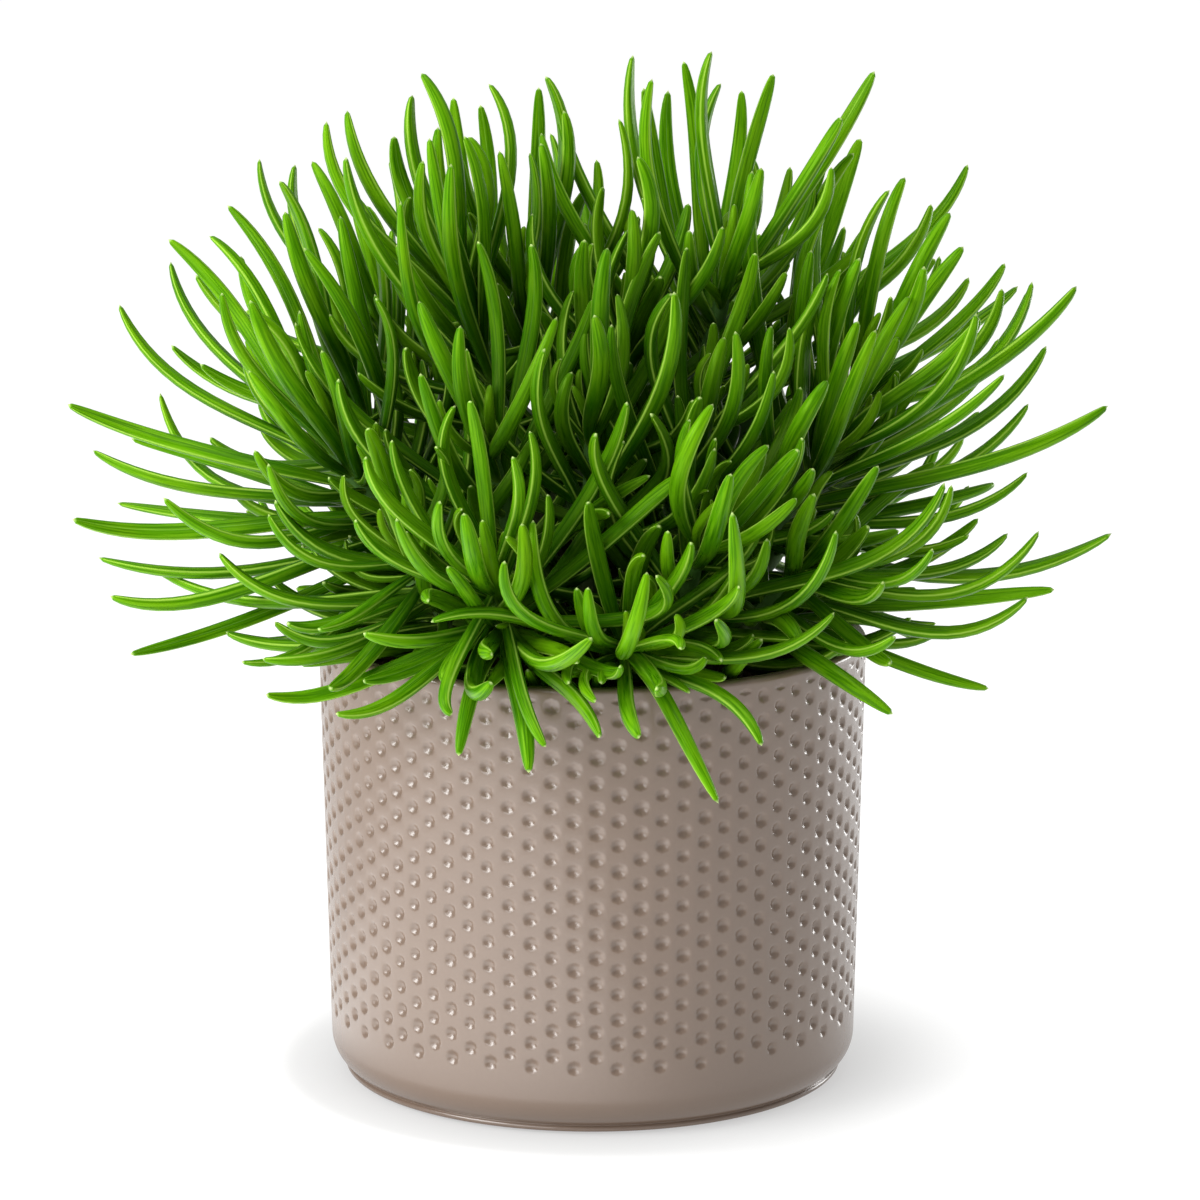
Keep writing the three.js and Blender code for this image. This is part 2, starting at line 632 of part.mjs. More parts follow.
const stemStrands = STEMS.map((stem) => samplesOf(stemRings(stemCurve(stem).curve), 0, KEPT_SAMPLES));
let leaves = STEMS.flatMap(leavesOf);
for (const lastRound of [false, true]) {
  bendApart(leaves, stemStrands);
  leaves = keepClear(leaves, stemStrands, lastRound);
}

addMesh('pot', potGeometry(), ceramic);
addMesh('soil', soilGeometry(), pottingSoil);
STEMS.forEach((stem, stemIndex) => {
  const own = leaves.filter((leaf) => leaf.stemIndex === stemIndex);
  addMesh(stem.name, leafyStemGeometry(stem, own), leafGreen);
});

export default plant;
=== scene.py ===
# Potted Senecio archeri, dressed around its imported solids: the pot, the soil and the leafy stems.
# Sizes are in millimetres, as in the solid model, and every mesh is made in metres.
# +Z is up, and the photographed side faces -Y.

import functools
import math

import bpy
import numpy as np
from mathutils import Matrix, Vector


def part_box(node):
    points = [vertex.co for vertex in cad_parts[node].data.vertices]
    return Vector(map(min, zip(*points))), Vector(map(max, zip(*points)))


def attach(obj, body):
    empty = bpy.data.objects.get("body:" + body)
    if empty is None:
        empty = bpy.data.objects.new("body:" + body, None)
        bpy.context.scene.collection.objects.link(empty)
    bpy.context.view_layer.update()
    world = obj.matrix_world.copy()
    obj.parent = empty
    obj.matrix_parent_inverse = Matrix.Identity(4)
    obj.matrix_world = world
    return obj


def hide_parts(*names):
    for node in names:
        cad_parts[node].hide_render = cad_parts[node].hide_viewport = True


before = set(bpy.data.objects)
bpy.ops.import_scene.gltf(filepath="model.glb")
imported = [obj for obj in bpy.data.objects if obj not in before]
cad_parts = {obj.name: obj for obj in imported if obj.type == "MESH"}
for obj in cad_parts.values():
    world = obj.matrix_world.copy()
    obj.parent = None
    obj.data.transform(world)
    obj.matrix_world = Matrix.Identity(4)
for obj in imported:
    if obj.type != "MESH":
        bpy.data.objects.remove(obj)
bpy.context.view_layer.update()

# Pot: a slip-cast ceramic cup on a low foot, with rows of round dimples pressed into its wall and
# a satin taupe glaze over all of it. The wall's lower edge curves in to a fine bead above the foot.

MM = 0.001
pot_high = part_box("pot")[1]
POT_HEIGHT = pot_high.z / MM
RIM_RADIUS = pot_high.x / MM
WALL_BOTTOM_RADIUS = 72.6
WALL_THICKNESS = 4.4
FOOT_RADIUS = 64
FOOT_HEIGHT = 1.3
FOOT_ROUNDING = 0.4
EDGE_CURVE_RADIUS = 10
EDGE_CURVE_HEIGHT = 10.5
EDGE_CURVE_END = -0.63
EDGE_BEAD_CENTRE = (68.0, 1.2)
EDGE_BEAD_RADIUS = 0.8
EDGE_BEAD_TURN = (-1.5, 0.85)
EDGE_STEPS = 12
FLOOR_THICKNESS = 8
LIP_ROUNDING = 1.3
LIP_INNER_ROUNDING = 1.6
LIP_STEPS = 6

DIMPLE_COLUMNS = 80
DIMPLE_ROWS = 15
ROW_PITCH = 6.72
LOWEST_ROW = 19.2
FIRST_COLUMN_ANGLE = math.radians(-3.7)
DIMPLE_RADIUS = 1.85
DIMPLE_DEPTH = 0.92
# Rings of a dimple from its rim inwards: their share of its radius, and of its depth
DIMPLE_RINGS = [(1.3, 0.0), (1.1, 0.06), (0.88, 0.29), (0.62, 0.66), (0.33, 0.93)]
LIP_DIMPLE_SQUASH = 0.52
UNEVEN_SIZE = 0.09
UNEVEN_PLACE = (0.03, 0.22)
WALL_SEAM = 0.012
WALL_SEED = 7
GLAZE_COLOURS = [(0.158, 0.107, 0.077), (0.185, 0.129, 0.094)]
GLAZE_SPECK = (0.142, 0.096, 0.069)
GLAZE_SPECKLING = 0.3
GLAZE_ROUGHNESS = (0.22, 0.28)
GLAZE_IOR = 1.72
# Sizes of the noises, in waves for each metre or so
CLOUD_SCALE = 22.0
MOTTLE_SCALE = 900.0
SKIN_SCALE = 420.0

WALL_FROM = EDGE_CURVE_HEIGHT
BAND_FROM = LOWEST_ROW - ROW_PITCH / 2
BAND_TO = BAND_FROM + (DIMPLE_ROWS + 0.5) * ROW_PITCH
COLUMN_ANGLE = 2 * math.pi / DIMPLE_COLUMNS
COLUMN_WIDTH = COLUMN_ANGLE * (RIM_RADIUS + WALL_BOTTOM_RADIUS) / 2


def wall_radius(height):
    share = (height - WALL_FROM) / (BAND_TO - WALL_FROM)
    return WALL_BOTTOM_RADIUS + (RIM_RADIUS - WALL_BOTTOM_RADIUS) * share


def arc(centre, radius, start, end, steps):
    """Points of an arc in the plane of radius and height, with its angles in quarter turns."""
    turns = np.linspace(start, end, steps + 1) * math.pi / 2
    return [(centre[0] + radius * math.cos(a), centre[1] + radius * math.sin(a)) for a in turns]


def mesh_object(name, points, faces, edges=()):
    """A new object with a mesh of that name, from points in millimetres."""
    mesh = bpy.data.meshes.new(name)
    mesh.from_pydata((np.asarray(points, float) * MM).tolist(), list(edges), faces)
    made = bpy.data.objects.new(name, mesh)
    bpy.context.scene.collection.objects.link(made)
    return made


def turned(name, strips, segments, first_angle):
    """Strips of (radius, height) points turned about Z. A strip's point on the axis becomes a pole."""
    points = []
    faces = []
    angles = first_angle + np.arange(segments) * 2 * math.pi / segments
    for strip in strips:
        rings = []
        for radius, height in strip:
            if radius == 0:
                rings.append([len(points)] * segments)
                points.append((0, 0, height))
            else:
                rings.append(list(range(len(points), len(points) + segments)))
                points += [(radius * math.sin(a), -radius * math.cos(a), height) for a in angles]
        for low, high in zip(rings, rings[1:]):
            for k in range(segments):
                after = (k + 1) % segments
                corners = [low[k], low[after], high[after], high[k]]
                faces.append(list(dict.fromkeys(corners)))
    return mesh_object(name, points, faces)


def dimple_tile(name, height, side_steps, squash):
    """A piece of wall one column wide with one dimple in it: x in columns, y along the wall, z out."""
    side = [(0.5, y) for y in np.linspace(-height / 2, height / 2, side_steps + 1)]
    border = side + [(0, height / 2)] + [(-x, -y) for x, y in side] + [(0, -height / 2)]
    turns = [math.atan2(y, x * COLUMN_WIDTH) for x, y in border]
    points = [(x, y, 0) for x, y in border]
    pressed = [0.0] * len(border)
    for reach, depth in DIMPLE_RINGS:
        for a in turns:
            across = reach * DIMPLE_RADIUS * math.cos(a) / COLUMN_WIDTH
            up = reach * DIMPLE_RADIUS * squash * math.sin(a)
            points.append((across, up, -depth * DIMPLE_DEPTH * squash))
            pressed.append(1.0)
    points.append((0, 0, -DIMPLE_DEPTH * squash))
    pressed.append(1.0)
    sides = len(border)
    faces = []
    for ring in range(len(DIMPLE_RINGS)):
        for k in range(sides):
            after = (k + 1) % sides
            outer = ring * sides
            faces.append((outer + k, outer + after, outer + sides + after, outer + sides + k))
    last = len(DIMPLE_RINGS) * sides
    faces += [(last + k, last + (k + 1) % sides, last + sides) for k in range(sides)]
    tile = mesh_object(name, np.array(points) / MM, faces)
    tile.data.attributes.new("pressed", "FLOAT", "POINT").data.foreach_set("value", pressed)
    return tile


def plain_tile(name, height):
    """The same piece of wall without a dimple, half as tall."""
    points = [(x, y * height, 0) for y in (-0.5, 0, 0.5) for x in (-0.5, 0, 0.5)]
    faces = [(0, 1, 4, 3), (1, 2, 5, 4), (3, 4, 7, 6), (4, 5, 8, 7)]
    return mesh_object(name, np.array(points) / MM, faces)


def new_tree(name, inputs):
    """An empty Geometry Nodes tree, with its inputs named and typed."""
    tree = bpy.data.node_groups.new(name, "GeometryNodeTree")
    tree.is_modifier = True
    tree.interface.new_socket("Geometry", in_out="OUTPUT", socket_type="NodeSocketGeometry")
    tree.interface.new_socket("Geometry", in_out="INPUT", socket_type="NodeSocketGeometry")
    for input_name, kind in inputs.items():
        tree.interface.new_socket(input_name, in_out="INPUT", socket_type="NodeSocket" + kind)
    return tree


def open_socket(sockets, name):
    return next(s for s in sockets if s.name == name and s.enabled)


def feed(tree, made, feeds):
    """Gives a node's sockets, by name or number, their values: plain ones, nodes, other sockets or a
    list of those."""
    for key, values in dict(feeds).items():
        socket = made.inputs[key] if isinstance(key, int) else open_socket(made.inputs, key)
        for value in values if isinstance(values, list) else [values]:
            if isinstance(value, bpy.types.Node):
                value = next(s for s in value.outputs if s.enabled)
            if isinstance(value, bpy.types.NodeSocket):
                tree.links.new(value, socket)
            elif socket.type == "RGBA":
                socket.default_value = (*value, 1.0)
            else:
                socket.default_value = value


def node(tree, kind, feeds=(), **settings):
    made = tree.nodes.new(kind)
    for setting, value in settings.items():
        setattr(made, setting, value)
    feed(tree, made, feeds)
    return made


def sums(tree, operation, *values):
    return node(tree, "ShaderNodeMath", dict(enumerate(values)), operation=operation)


def arithmetic(tree):
    """Adding, subtracting and multiplying, as functions that make nodes in the tree."""
    return [functools.partial(sums, tree, name) for name in ("ADD", "SUBTRACT", "MULTIPLY")]


def vectors(tree, operation, *values):
    return node(tree, "ShaderNodeVectorMath", dict(enumerate(values)), operation=operation)


def scaled(tree, vector, share):
    return node(tree, "ShaderNodeVectorMath", {0: vector, "Scale": share}, operation="SCALE")


def split(tree, vector):
    return node(tree, "ShaderNodeSeparateXYZ", {0: vector}).outputs


def combined(tree, **parts):
    return node(tree, "ShaderNodeCombineXYZ", parts)


def stored(tree, name, kind="FLOAT"):
    return node(tree, "GeometryNodeInputNamedAttribute", {"Name": name}, data_type=kind)


def store(tree, geometry, name, vector):
    return node(tree, "GeometryNodeStoreNamedAttribute", {
        "Geometry": geometry, "Name": name, "Value": vector,
    }, data_type="FLOAT_VECTOR", domain="POINT")


def moved(tree, geometry, place):
    return node(tree, "GeometryNodeSetPosition", {"Geometry": geometry, "Position": place})


def joined(tree, *parts):
    return node(tree, "GeometryNodeJoinGeometry", {"Geometry": list(parts)})


def coated(tree, geometry, material):
    return node(tree, "GeometryNodeSetMaterial", {"Geometry": geometry, "Material": material})


def grow(host, tree, inputs):
    """Gives the host object the plain mesh that the tree makes from it."""
    modifier = host.modifiers.new(tree.name, "NODES")
    modifier.node_group = tree
    for socket in tree.interface.items_tree:
        if socket.in_out == "INPUT" and socket.name in inputs:
            modifier[socket.identifier] = inputs[socket.name]
    graph = bpy.context.evaluated_depsgraph_get()
    mesh = bpy.data.meshes.new_from_object(
        host.evaluated_get(graph), preserve_all_data_layers=True, depsgraph=graph
    )
    host.modifiers.clear()
    host.data = mesh
    return host


def smooth(made):
    made.data.polygons.foreach_set("use_smooth", [True] * len(made.data.polygons))


def dimpled_wall_tree():
    """Sets the tiles out on a flat sheet, makes each a little uneven, and wraps the sheet round the wall."""
    tree = new_tree("Dimpled wall", {
        "Columns": "Int", "Rows": "Int", "Row Pitch": "Float", "Lowest Row": "Float",
        "Column Angle": "Float", "First Angle": "Float", "Wall From": "Float", "Wall To": "Float",
        "Radius From": "Float", "Radius To": "Float", "Uneven Size": "Float",
        "Uneven Place": "Vector", "Seam": "Float", "Seed": "Int", "Dimple Tile": "Object",
        "Lip Tile": "Object", "Plain Tile": "Object", "Glaze": "Material",
    })
    given = tree.nodes.new("NodeGroupInput").outputs
    add, subtract, times = arithmetic(tree)
    position = node(tree, "GeometryNodeInputPosition")
    place = split(tree, position)
    sheet = node(tree, "GeometryNodeMeshGrid", {
        "Size X": subtract(given["Columns"], 1.0), "Size Y": subtract(given["Rows"], 1.0),
        "Vertices X": given["Columns"], "Vertices Y": given["Rows"],
    })
    column, row = (
        sums(tree, "ROUND", add(place[axis], times(subtract(given[count], 1.0), 0.5)))
        for axis, count in (("X", "Columns"), ("Y", "Rows"))
    )
    rise = add(row, times(sums(tree, "FLOORED_MODULO", column, 2.0), 0.5))
    height = add(times(rise, given["Row Pitch"]), given["Lowest Row"])
    dimples = moved(tree, sheet, combined(tree, X=column, Y=height))
    # The line of end tiles: a small dimple under the lip in even columns, a plain piece at the
    # foot of odd ones
    line = node(tree, "GeometryNodeMeshLine", {"Count": given["Columns"], "Offset": (1.0, 0.0, 0.0)})
    end_column = sums(tree, "ROUND", place["X"])
    end_odd = sums(tree, "FLOORED_MODULO", end_column, 2.0)
    quarter = times(given["Row Pitch"], 0.25)
    lip_rise = times(subtract(given["Rows"], 0.5), given["Row Pitch"])
    end_height = node(tree, "ShaderNodeMix", {
        "Factor": end_odd, "A": add(add(lip_rise, given["Lowest Row"]), quarter),
        "B": subtract(given["Lowest Row"], quarter),
    }, data_type="FLOAT")
    ends = moved(tree, line, combined(tree, X=end_column, Y=end_height))
    random = node(tree, "FunctionNodeRandomValue", {
        "Min": (-1.0, -1.0, -1.0), "Max": (1.0, 1.0, 1.0), "Seed": given["Seed"],
    }, data_type="FLOAT_VECTOR")
    pieces = []
    for points, chosen, tile in (
        (dimples, {}, "Dimple Tile"),
        (ends, {"Selection": subtract(1.0, end_odd)}, "Lip Tile"),
        (ends, {"Selection": end_odd}, "Plain Tile"),
    ):
        shape = node(tree, "GeometryNodeObjectInfo", {"Object": given[tile]}).outputs["Geometry"]
        marked = store(tree, store(tree, points, "tile_centre", position), "tile_draw", random)
        pieces.append(node(tree, "GeometryNodeInstanceOnPoints", {
            "Points": marked, "Instance": shape, **chosen,
        }))
    real = node(tree, "GeometryNodeRealizeInstances", {"Geometry": joined(tree, *pieces)})
    pressed = stored(tree, "pressed")
    centre = stored(tree, "tile_centre", "FLOAT_VECTOR")
    draws = stored(tree, "tile_draw", "FLOAT_VECTOR")
    swell = times(times(split(tree, draws)["X"], given["Uneven Size"]), pressed)
    swollen = scaled(tree, vectors(tree, "SUBTRACT", position, centre), add(swell, 1.0))
    shift = scaled(tree, vectors(tree, "MULTIPLY", draws, given["Uneven Place"]), pressed)
    flat = split(tree, vectors(tree, "ADD", vectors(tree, "ADD", swollen, shift), centre))
    turn = add(times(flat["X"], given["Column Angle"]), given["First Angle"])
    radius = node(tree, "ShaderNodeMapRange", {
        "Value": flat["Y"], "From Min": given["Wall From"], "From Max": given["Wall To"],
        "To Min": given["Radius From"], "To Max": given["Radius To"],
    }, clamp=False)
    reach = add(radius, flat["Z"])
    wrapped = combined(
        tree, X=times(reach, sums(tree, "SINE", turn)),
        Y=times(reach, times(sums(tree, "COSINE", turn), -1.0)), Z=flat["Y"],
    )
    band = moved(tree, real, scaled(tree, wrapped, MM))
    sewn = node(tree, "GeometryNodeMergeByDistance", {
        "Geometry": joined(tree, given["Geometry"], band), "Distance": given["Seam"],
    })
    node(tree, "NodeGroupOutput", {"Geometry": coated(tree, sewn, given["Glaze"])})
    return tree


def new_material(name):
    """A material with an empty tree but for its shader, which is returned with it."""
    material = bpy.data.materials.new(name)
    material.use_nodes = True
    tree = material.node_tree
    tree.nodes.clear()
    shader = node(tree, "ShaderNodeBsdfPrincipled")
    node(tree, "ShaderNodeOutputMaterial", {"Surface": shader})
    return material, tree, shader


def noise(tree, vector, scale, detail=2.0, roughness=0.5):
    return node(tree, "ShaderNodeTexNoise", {
        "Vector": vector, "Scale": scale, "Detail": detail, "Roughness": roughness,
    })


def blend(tree, share, first, second):
    return node(tree, "ShaderNodeMix", {"Factor": share, "A": first, "B": second}, data_type="RGBA")


def ramp(tree, value, low, high, bottom=0.0, top=1.0, way="SMOOTHSTEP"):
    """A value that goes from bottom to top while the given one goes from low to high."""
    return node(tree, "ShaderNodeMapRange", {
        "Value": value, "From Min": low, "From Max": high, "To Min": bottom, "To Max": top,
    }, interpolation_type=way)


def bump(tree, strength, distance, height):
    return node(tree, "ShaderNodeBump", {"Strength": strength, "Distance": distance, "Height": height})


def satin_glaze():
    """Taupe glaze: cloudy at the scale of a hand, finely mottled, and satin."""
    material, tree, shader = new_material("satin_taupe_glaze")
    place = node(tree, "ShaderNodeTexCoord").outputs["Object"]
    mottle = noise(tree, place, MOTTLE_SCALE)
    clouded = blend(tree, noise(tree, place, CLOUD_SCALE, 3.0), *GLAZE_COLOURS)
    speckling = sums(tree, "MULTIPLY", mottle, GLAZE_SPECKLING)
    feed(tree, shader, {
        "Base Color": blend(tree, speckling, clouded, GLAZE_SPECK),
        "Roughness": ramp(tree, mottle, 0.0, 1.0, *GLAZE_ROUGHNESS, "LINEAR"),
        "Normal": bump(tree, 0.12, 0.0003, noise(tree, place, SKIN_SCALE)), "IOR": GLAZE_IOR,
    })
    return material


edge_centre = (WALL_BOTTOM_RADIUS - EDGE_CURVE_RADIUS, EDGE_CURVE_HEIGHT)
lip_centre = (RIM_RADIUS - LIP_ROUNDING, POT_HEIGHT - LIP_ROUNDING)
inner_top_radius = RIM_RADIUS - WALL_THICKNESS
inner_bottom_radius = WALL_BOTTOM_RADIUS - WALL_THICKNESS
inner_lip_centre = (inner_top_radius + LIP_INNER_ROUNDING, POT_HEIGHT - LIP_INNER_ROUNDING)
inner_curve = EDGE_CURVE_RADIUS - WALL_THICKNESS
inner_edge_centre = (inner_bottom_radius - inner_curve, FLOOR_THICKNESS + inner_curve)
below_band = [
    (0, 0),
    (FOOT_RADIUS * 0.5, 0),
    *arc((FOOT_RADIUS - FOOT_ROUNDING, FOOT_ROUNDING), FOOT_ROUNDING, -1, 0, 3),
    (FOOT_RADIUS, FOOT_HEIGHT * 0.8),
    (FOOT_RADIUS + FOOT_ROUNDING, FOOT_HEIGHT),
    *arc(EDGE_BEAD_CENTRE, EDGE_BEAD_RADIUS, *EDGE_BEAD_TURN, 8),
    *arc(edge_centre, EDGE_CURVE_RADIUS, EDGE_CURVE_END, 0, EDGE_STEPS),
    (wall_radius(BAND_FROM), BAND_FROM),
]
above_band = [
    (RIM_RADIUS, BAND_TO),
    *arc(lip_centre, LIP_ROUNDING, 0, 1, LIP_STEPS),
    *arc(inner_lip_centre, LIP_INNER_ROUNDING, 1, 2, LIP_STEPS),
    (inner_top_radius, POT_HEIGHT - 2 * LIP_INNER_ROUNDING),
    ((inner_top_radius + inner_bottom_radius) / 2, POT_HEIGHT / 2),
    *arc(inner_edge_centre, inner_curve, 0, -1, EDGE_STEPS),
    (inner_edge_centre[0] * 0.5, FLOOR_THICKNESS),
    (0, FLOOR_THICKNESS),
]
tiles = [
    dimple_tile("dimple_tile", ROW_PITCH, 4, 1.0),
    dimple_tile("lip_tile", ROW_PITCH / 2, 2, LIP_DIMPLE_SQUASH),
    plain_tile("plain_tile", ROW_PITCH / 2),
]
glaze = satin_glaze()
glazed_pot = turned(
    "glazed_pot", [below_band, above_band], 2 * DIMPLE_COLUMNS, FIRST_COLUMN_ANGLE
)
grow(glazed_pot, dimpled_wall_tree(), {
    "Columns": DIMPLE_COLUMNS, "Rows": DIMPLE_ROWS, "Row Pitch": ROW_PITCH,
    "Lowest Row": LOWEST_ROW, "Column Angle": COLUMN_ANGLE, "First Angle": FIRST_COLUMN_ANGLE,
    "Wall From": WALL_FROM, "Wall To": BAND_TO, "Radius From": WALL_BOTTOM_RADIUS,
    "Radius To": RIM_RADIUS, "Uneven Size": UNEVEN_SIZE, "Uneven Place": (*UNEVEN_PLACE, 0.0),
    "Seam": WALL_SEAM * MM, "Seed": WALL_SEED, "Dimple Tile": tiles[0], "Lip Tile": tiles[1],
    "Plain Tile": tiles[2], "Glaze": glaze,
})
for tile in tiles:
    bpy.data.objects.remove(tile)
smooth(glazed_pot)
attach(glazed_pot, "root")
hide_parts("pot")

# Soil: dark, crumbly potting soil, filled to a little below the lip. Its top is lumpy, with loose
# crumbs lying on it.

SOIL_TOP = 106
SOIL_CROWN = 2
SOIL_GAP = 0.3
SOIL_SEGMENTS = 96
SOIL_TOP_RINGS = 30
SOIL_LUMPS = 1.6
CRUMB_SIZE = (0.5, 1.7)
CRUMBS_PER_SQUARE_METRE = 90000
CRUMB_TURN = (6.3, 6.3, 6.3)
SOIL_SEED = 3
LUMP_SCALE = 110.0


def soil_tree():
    """Makes the top lumpy and strews crumbs on it."""
    tree = new_tree("Crumbly soil", {
        "Top From": "Float", "Lump Height": "Float", "Lump Scale": "Float", "Crumb Density": "Float",
        "Smallest Crumb": "Float", "Largest Crumb": "Float", "Seed": "Int", "Earth": "Material",
    })
    given = tree.nodes.new("NodeGroupInput").outputs
    add, subtract, times = arithmetic(tree)
    place = node(tree, "GeometryNodeInputPosition")
    is_top = sums(tree, "GREATER_THAN", split(tree, place)["Z"], given["Top From"])
    lumps = subtract(noise(tree, place, given["Lump Scale"], 3.0), 0.5)
    lumpy = node(tree, "GeometryNodeSetPosition", {
        "Geometry": given["Geometry"],
        "Offset": combined(tree, Z=times(times(lumps, given["Lump Height"]), is_top)),
    })
    strewn = node(tree, "GeometryNodeDistributePointsOnFaces", {
        "Mesh": lumpy, "Selection": is_top, "Density": given["Crumb Density"], "Seed": given["Seed"],
    })
    smallest, largest = (
        combined(tree, X=given[name], Y=given[name], Z=given[name])
        for name in ("Smallest Crumb", "Largest Crumb")
    )
    crumbs = node(tree, "GeometryNodeInstanceOnPoints", {
        "Points": strewn.outputs["Points"],
        "Instance": node(tree, "GeometryNodeMeshIcoSphere", {"Radius": 1.0, "Subdivisions": 1}),
        "Rotation": node(tree, "FunctionNodeRandomValue", {
            "Max": CRUMB_TURN, "Seed": given["Seed"],
        }, data_type="FLOAT_VECTOR"),
        "Scale": node(tree, "FunctionNodeRandomValue", {
            "Min": smallest, "Max": largest, "Seed": add(given["Seed"], 1.0),
        }, data_type="FLOAT_VECTOR"),
    })
    real = node(tree, "GeometryNodeRealizeInstances", {"Geometry": joined(tree, lumpy, crumbs)})
    node(tree, "NodeGroupOutput", {"Geometry": coated(tree, real, given["Earth"])})
    return tree


def potting_soil():
    """Dark earth with paler grains, damp in patches."""
    material, tree, shader = new_material("potting_soil")
    place = node(tree, "ShaderNodeTexCoord").outputs["Object"]
    grains = noise(tree, place, 700.0, 4.0, 0.65)
    dark = blend(tree, noise(tree, place, 90.0), (0.012, 0.007, 0.004), (0.035, 0.021, 0.012))
    feed(tree, shader, {
        "Base Color": blend(tree, grains, dark, (0.075, 0.045, 0.026)),
        "Roughness": 0.95, "Specular IOR Level": 0.25, "Normal": bump(tree, 0.7, 0.0006, grains),
    })
    return material


soil_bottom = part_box("soil")[0].z / MM
soil_radius = inner_bottom_radius - SOIL_GAP
soil_wall_from = soil_bottom + inner_curve
soil_top_radius = wall_radius(SOIL_TOP) - WALL_THICKNESS - SOIL_GAP
soil_outline = [
    (0, soil_bottom),
    (soil_radius - inner_curve, soil_bottom),
    *arc((soil_radius - inner_curve, soil_wall_from), inner_curve, -1, 0, 4)[1:],
    (soil_top_radius, SOIL_TOP),
    *[
        (soil_top_radius * (1 - k / SOIL_TOP_RINGS), SOIL_TOP + SOIL_CROWN * k / SOIL_TOP_RINGS)
        for k in range(1, SOIL_TOP_RINGS + 1)
    ],
]
crumbly_soil = turned("crumbly_soil", [soil_outline], SOIL_SEGMENTS, 0)
grow(crumbly_soil, soil_tree(), {
    "Top From": (SOIL_TOP + 0.01) * MM, "Lump Height": SOIL_LUMPS * MM, "Lump Scale": LUMP_SCALE,
    "Crumb Density": CRUMBS_PER_SQUARE_METRE, "Smallest Crumb": CRUMB_SIZE[0] * MM,
    "Largest Crumb": CRUMB_SIZE[1] * MM, "Seed": SOIL_SEED, "Earth": potting_soil(),
})
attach(crumbly_soil, "root")
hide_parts("soil")

# Leafy stems: woody stems rooted in the soil, each ending in a crown of soft, water-filled leaves
# like fingers. The leaves leave the stem in a spiral, bow outwards and turn up to a blunt point.

LEAFY_LOWEST = POT_HEIGHT + 4
STEM_FOOT_RADIUS = 3.1
STEM_CROWN_RADIUS = 2.1
STEM_COLLAR = 4
STEM_EASE = 0.35
HOLE_DEPTH = 22

LEAF_RADIUS = 2.2
LEAF_FACET_SWELL = 1.1
LEAF_RADIUS_SPREAD = 0.3
LEAF_ROOT_SHARE = 0.5
LEAF_WIDEST_AT = 0.5
LEAF_POINT_POWER = 2.8
SOLID_TIP = 0.5
FINE_TIP = 0.38
LEAF_KNOTS = [0, 0.42, 0.87, 1]
STEM_KNOTS = [0, 1 / 3, 2 / 3, 1]
LEAF_BOW = 0.12
LEAF_BOW_SPREAD = 0.09
LEAF_SIDE_BOW = 0.12
LEAFY_LENGTH = 34

GOLDEN_ANGLE = 2.39996
SPARE_TRIES = 40
SPARE_LENGTH_OF_STEM = 52
SPARE_TIP_GAP = 14
SPARE_LENGTH = 54
SPARE_LENGTH_SPREAD = 8
SPARE_LEAN_TOP = 0.3
SPARE_LEAN_RANGE = 1.15
SPARE_LEAN_SPREAD = 0.15

BEND_ROUNDS = 70
SETTLING_ROUNDS = 20
TIP_PULL = 0.08
BEND_SAMPLES = 12
BEND_FROM = 0.12
BEND_FROM_SAME_STEM = 0.22
BEND_GAP = 1.5
BEND_STEP = 0.5
BEND_LIMIT = 2
SIDEWAYS_SHARE = 0.6
KEPT_GAP = 0.35
KEPT_SAMPLES = 32
PAIRS_AT_ONCE = 2000
NEARLY_NOTHING = 1e-12

SEED = 20260
SEED_FACTOR = 16807
SEED_MODULUS = 2147483647

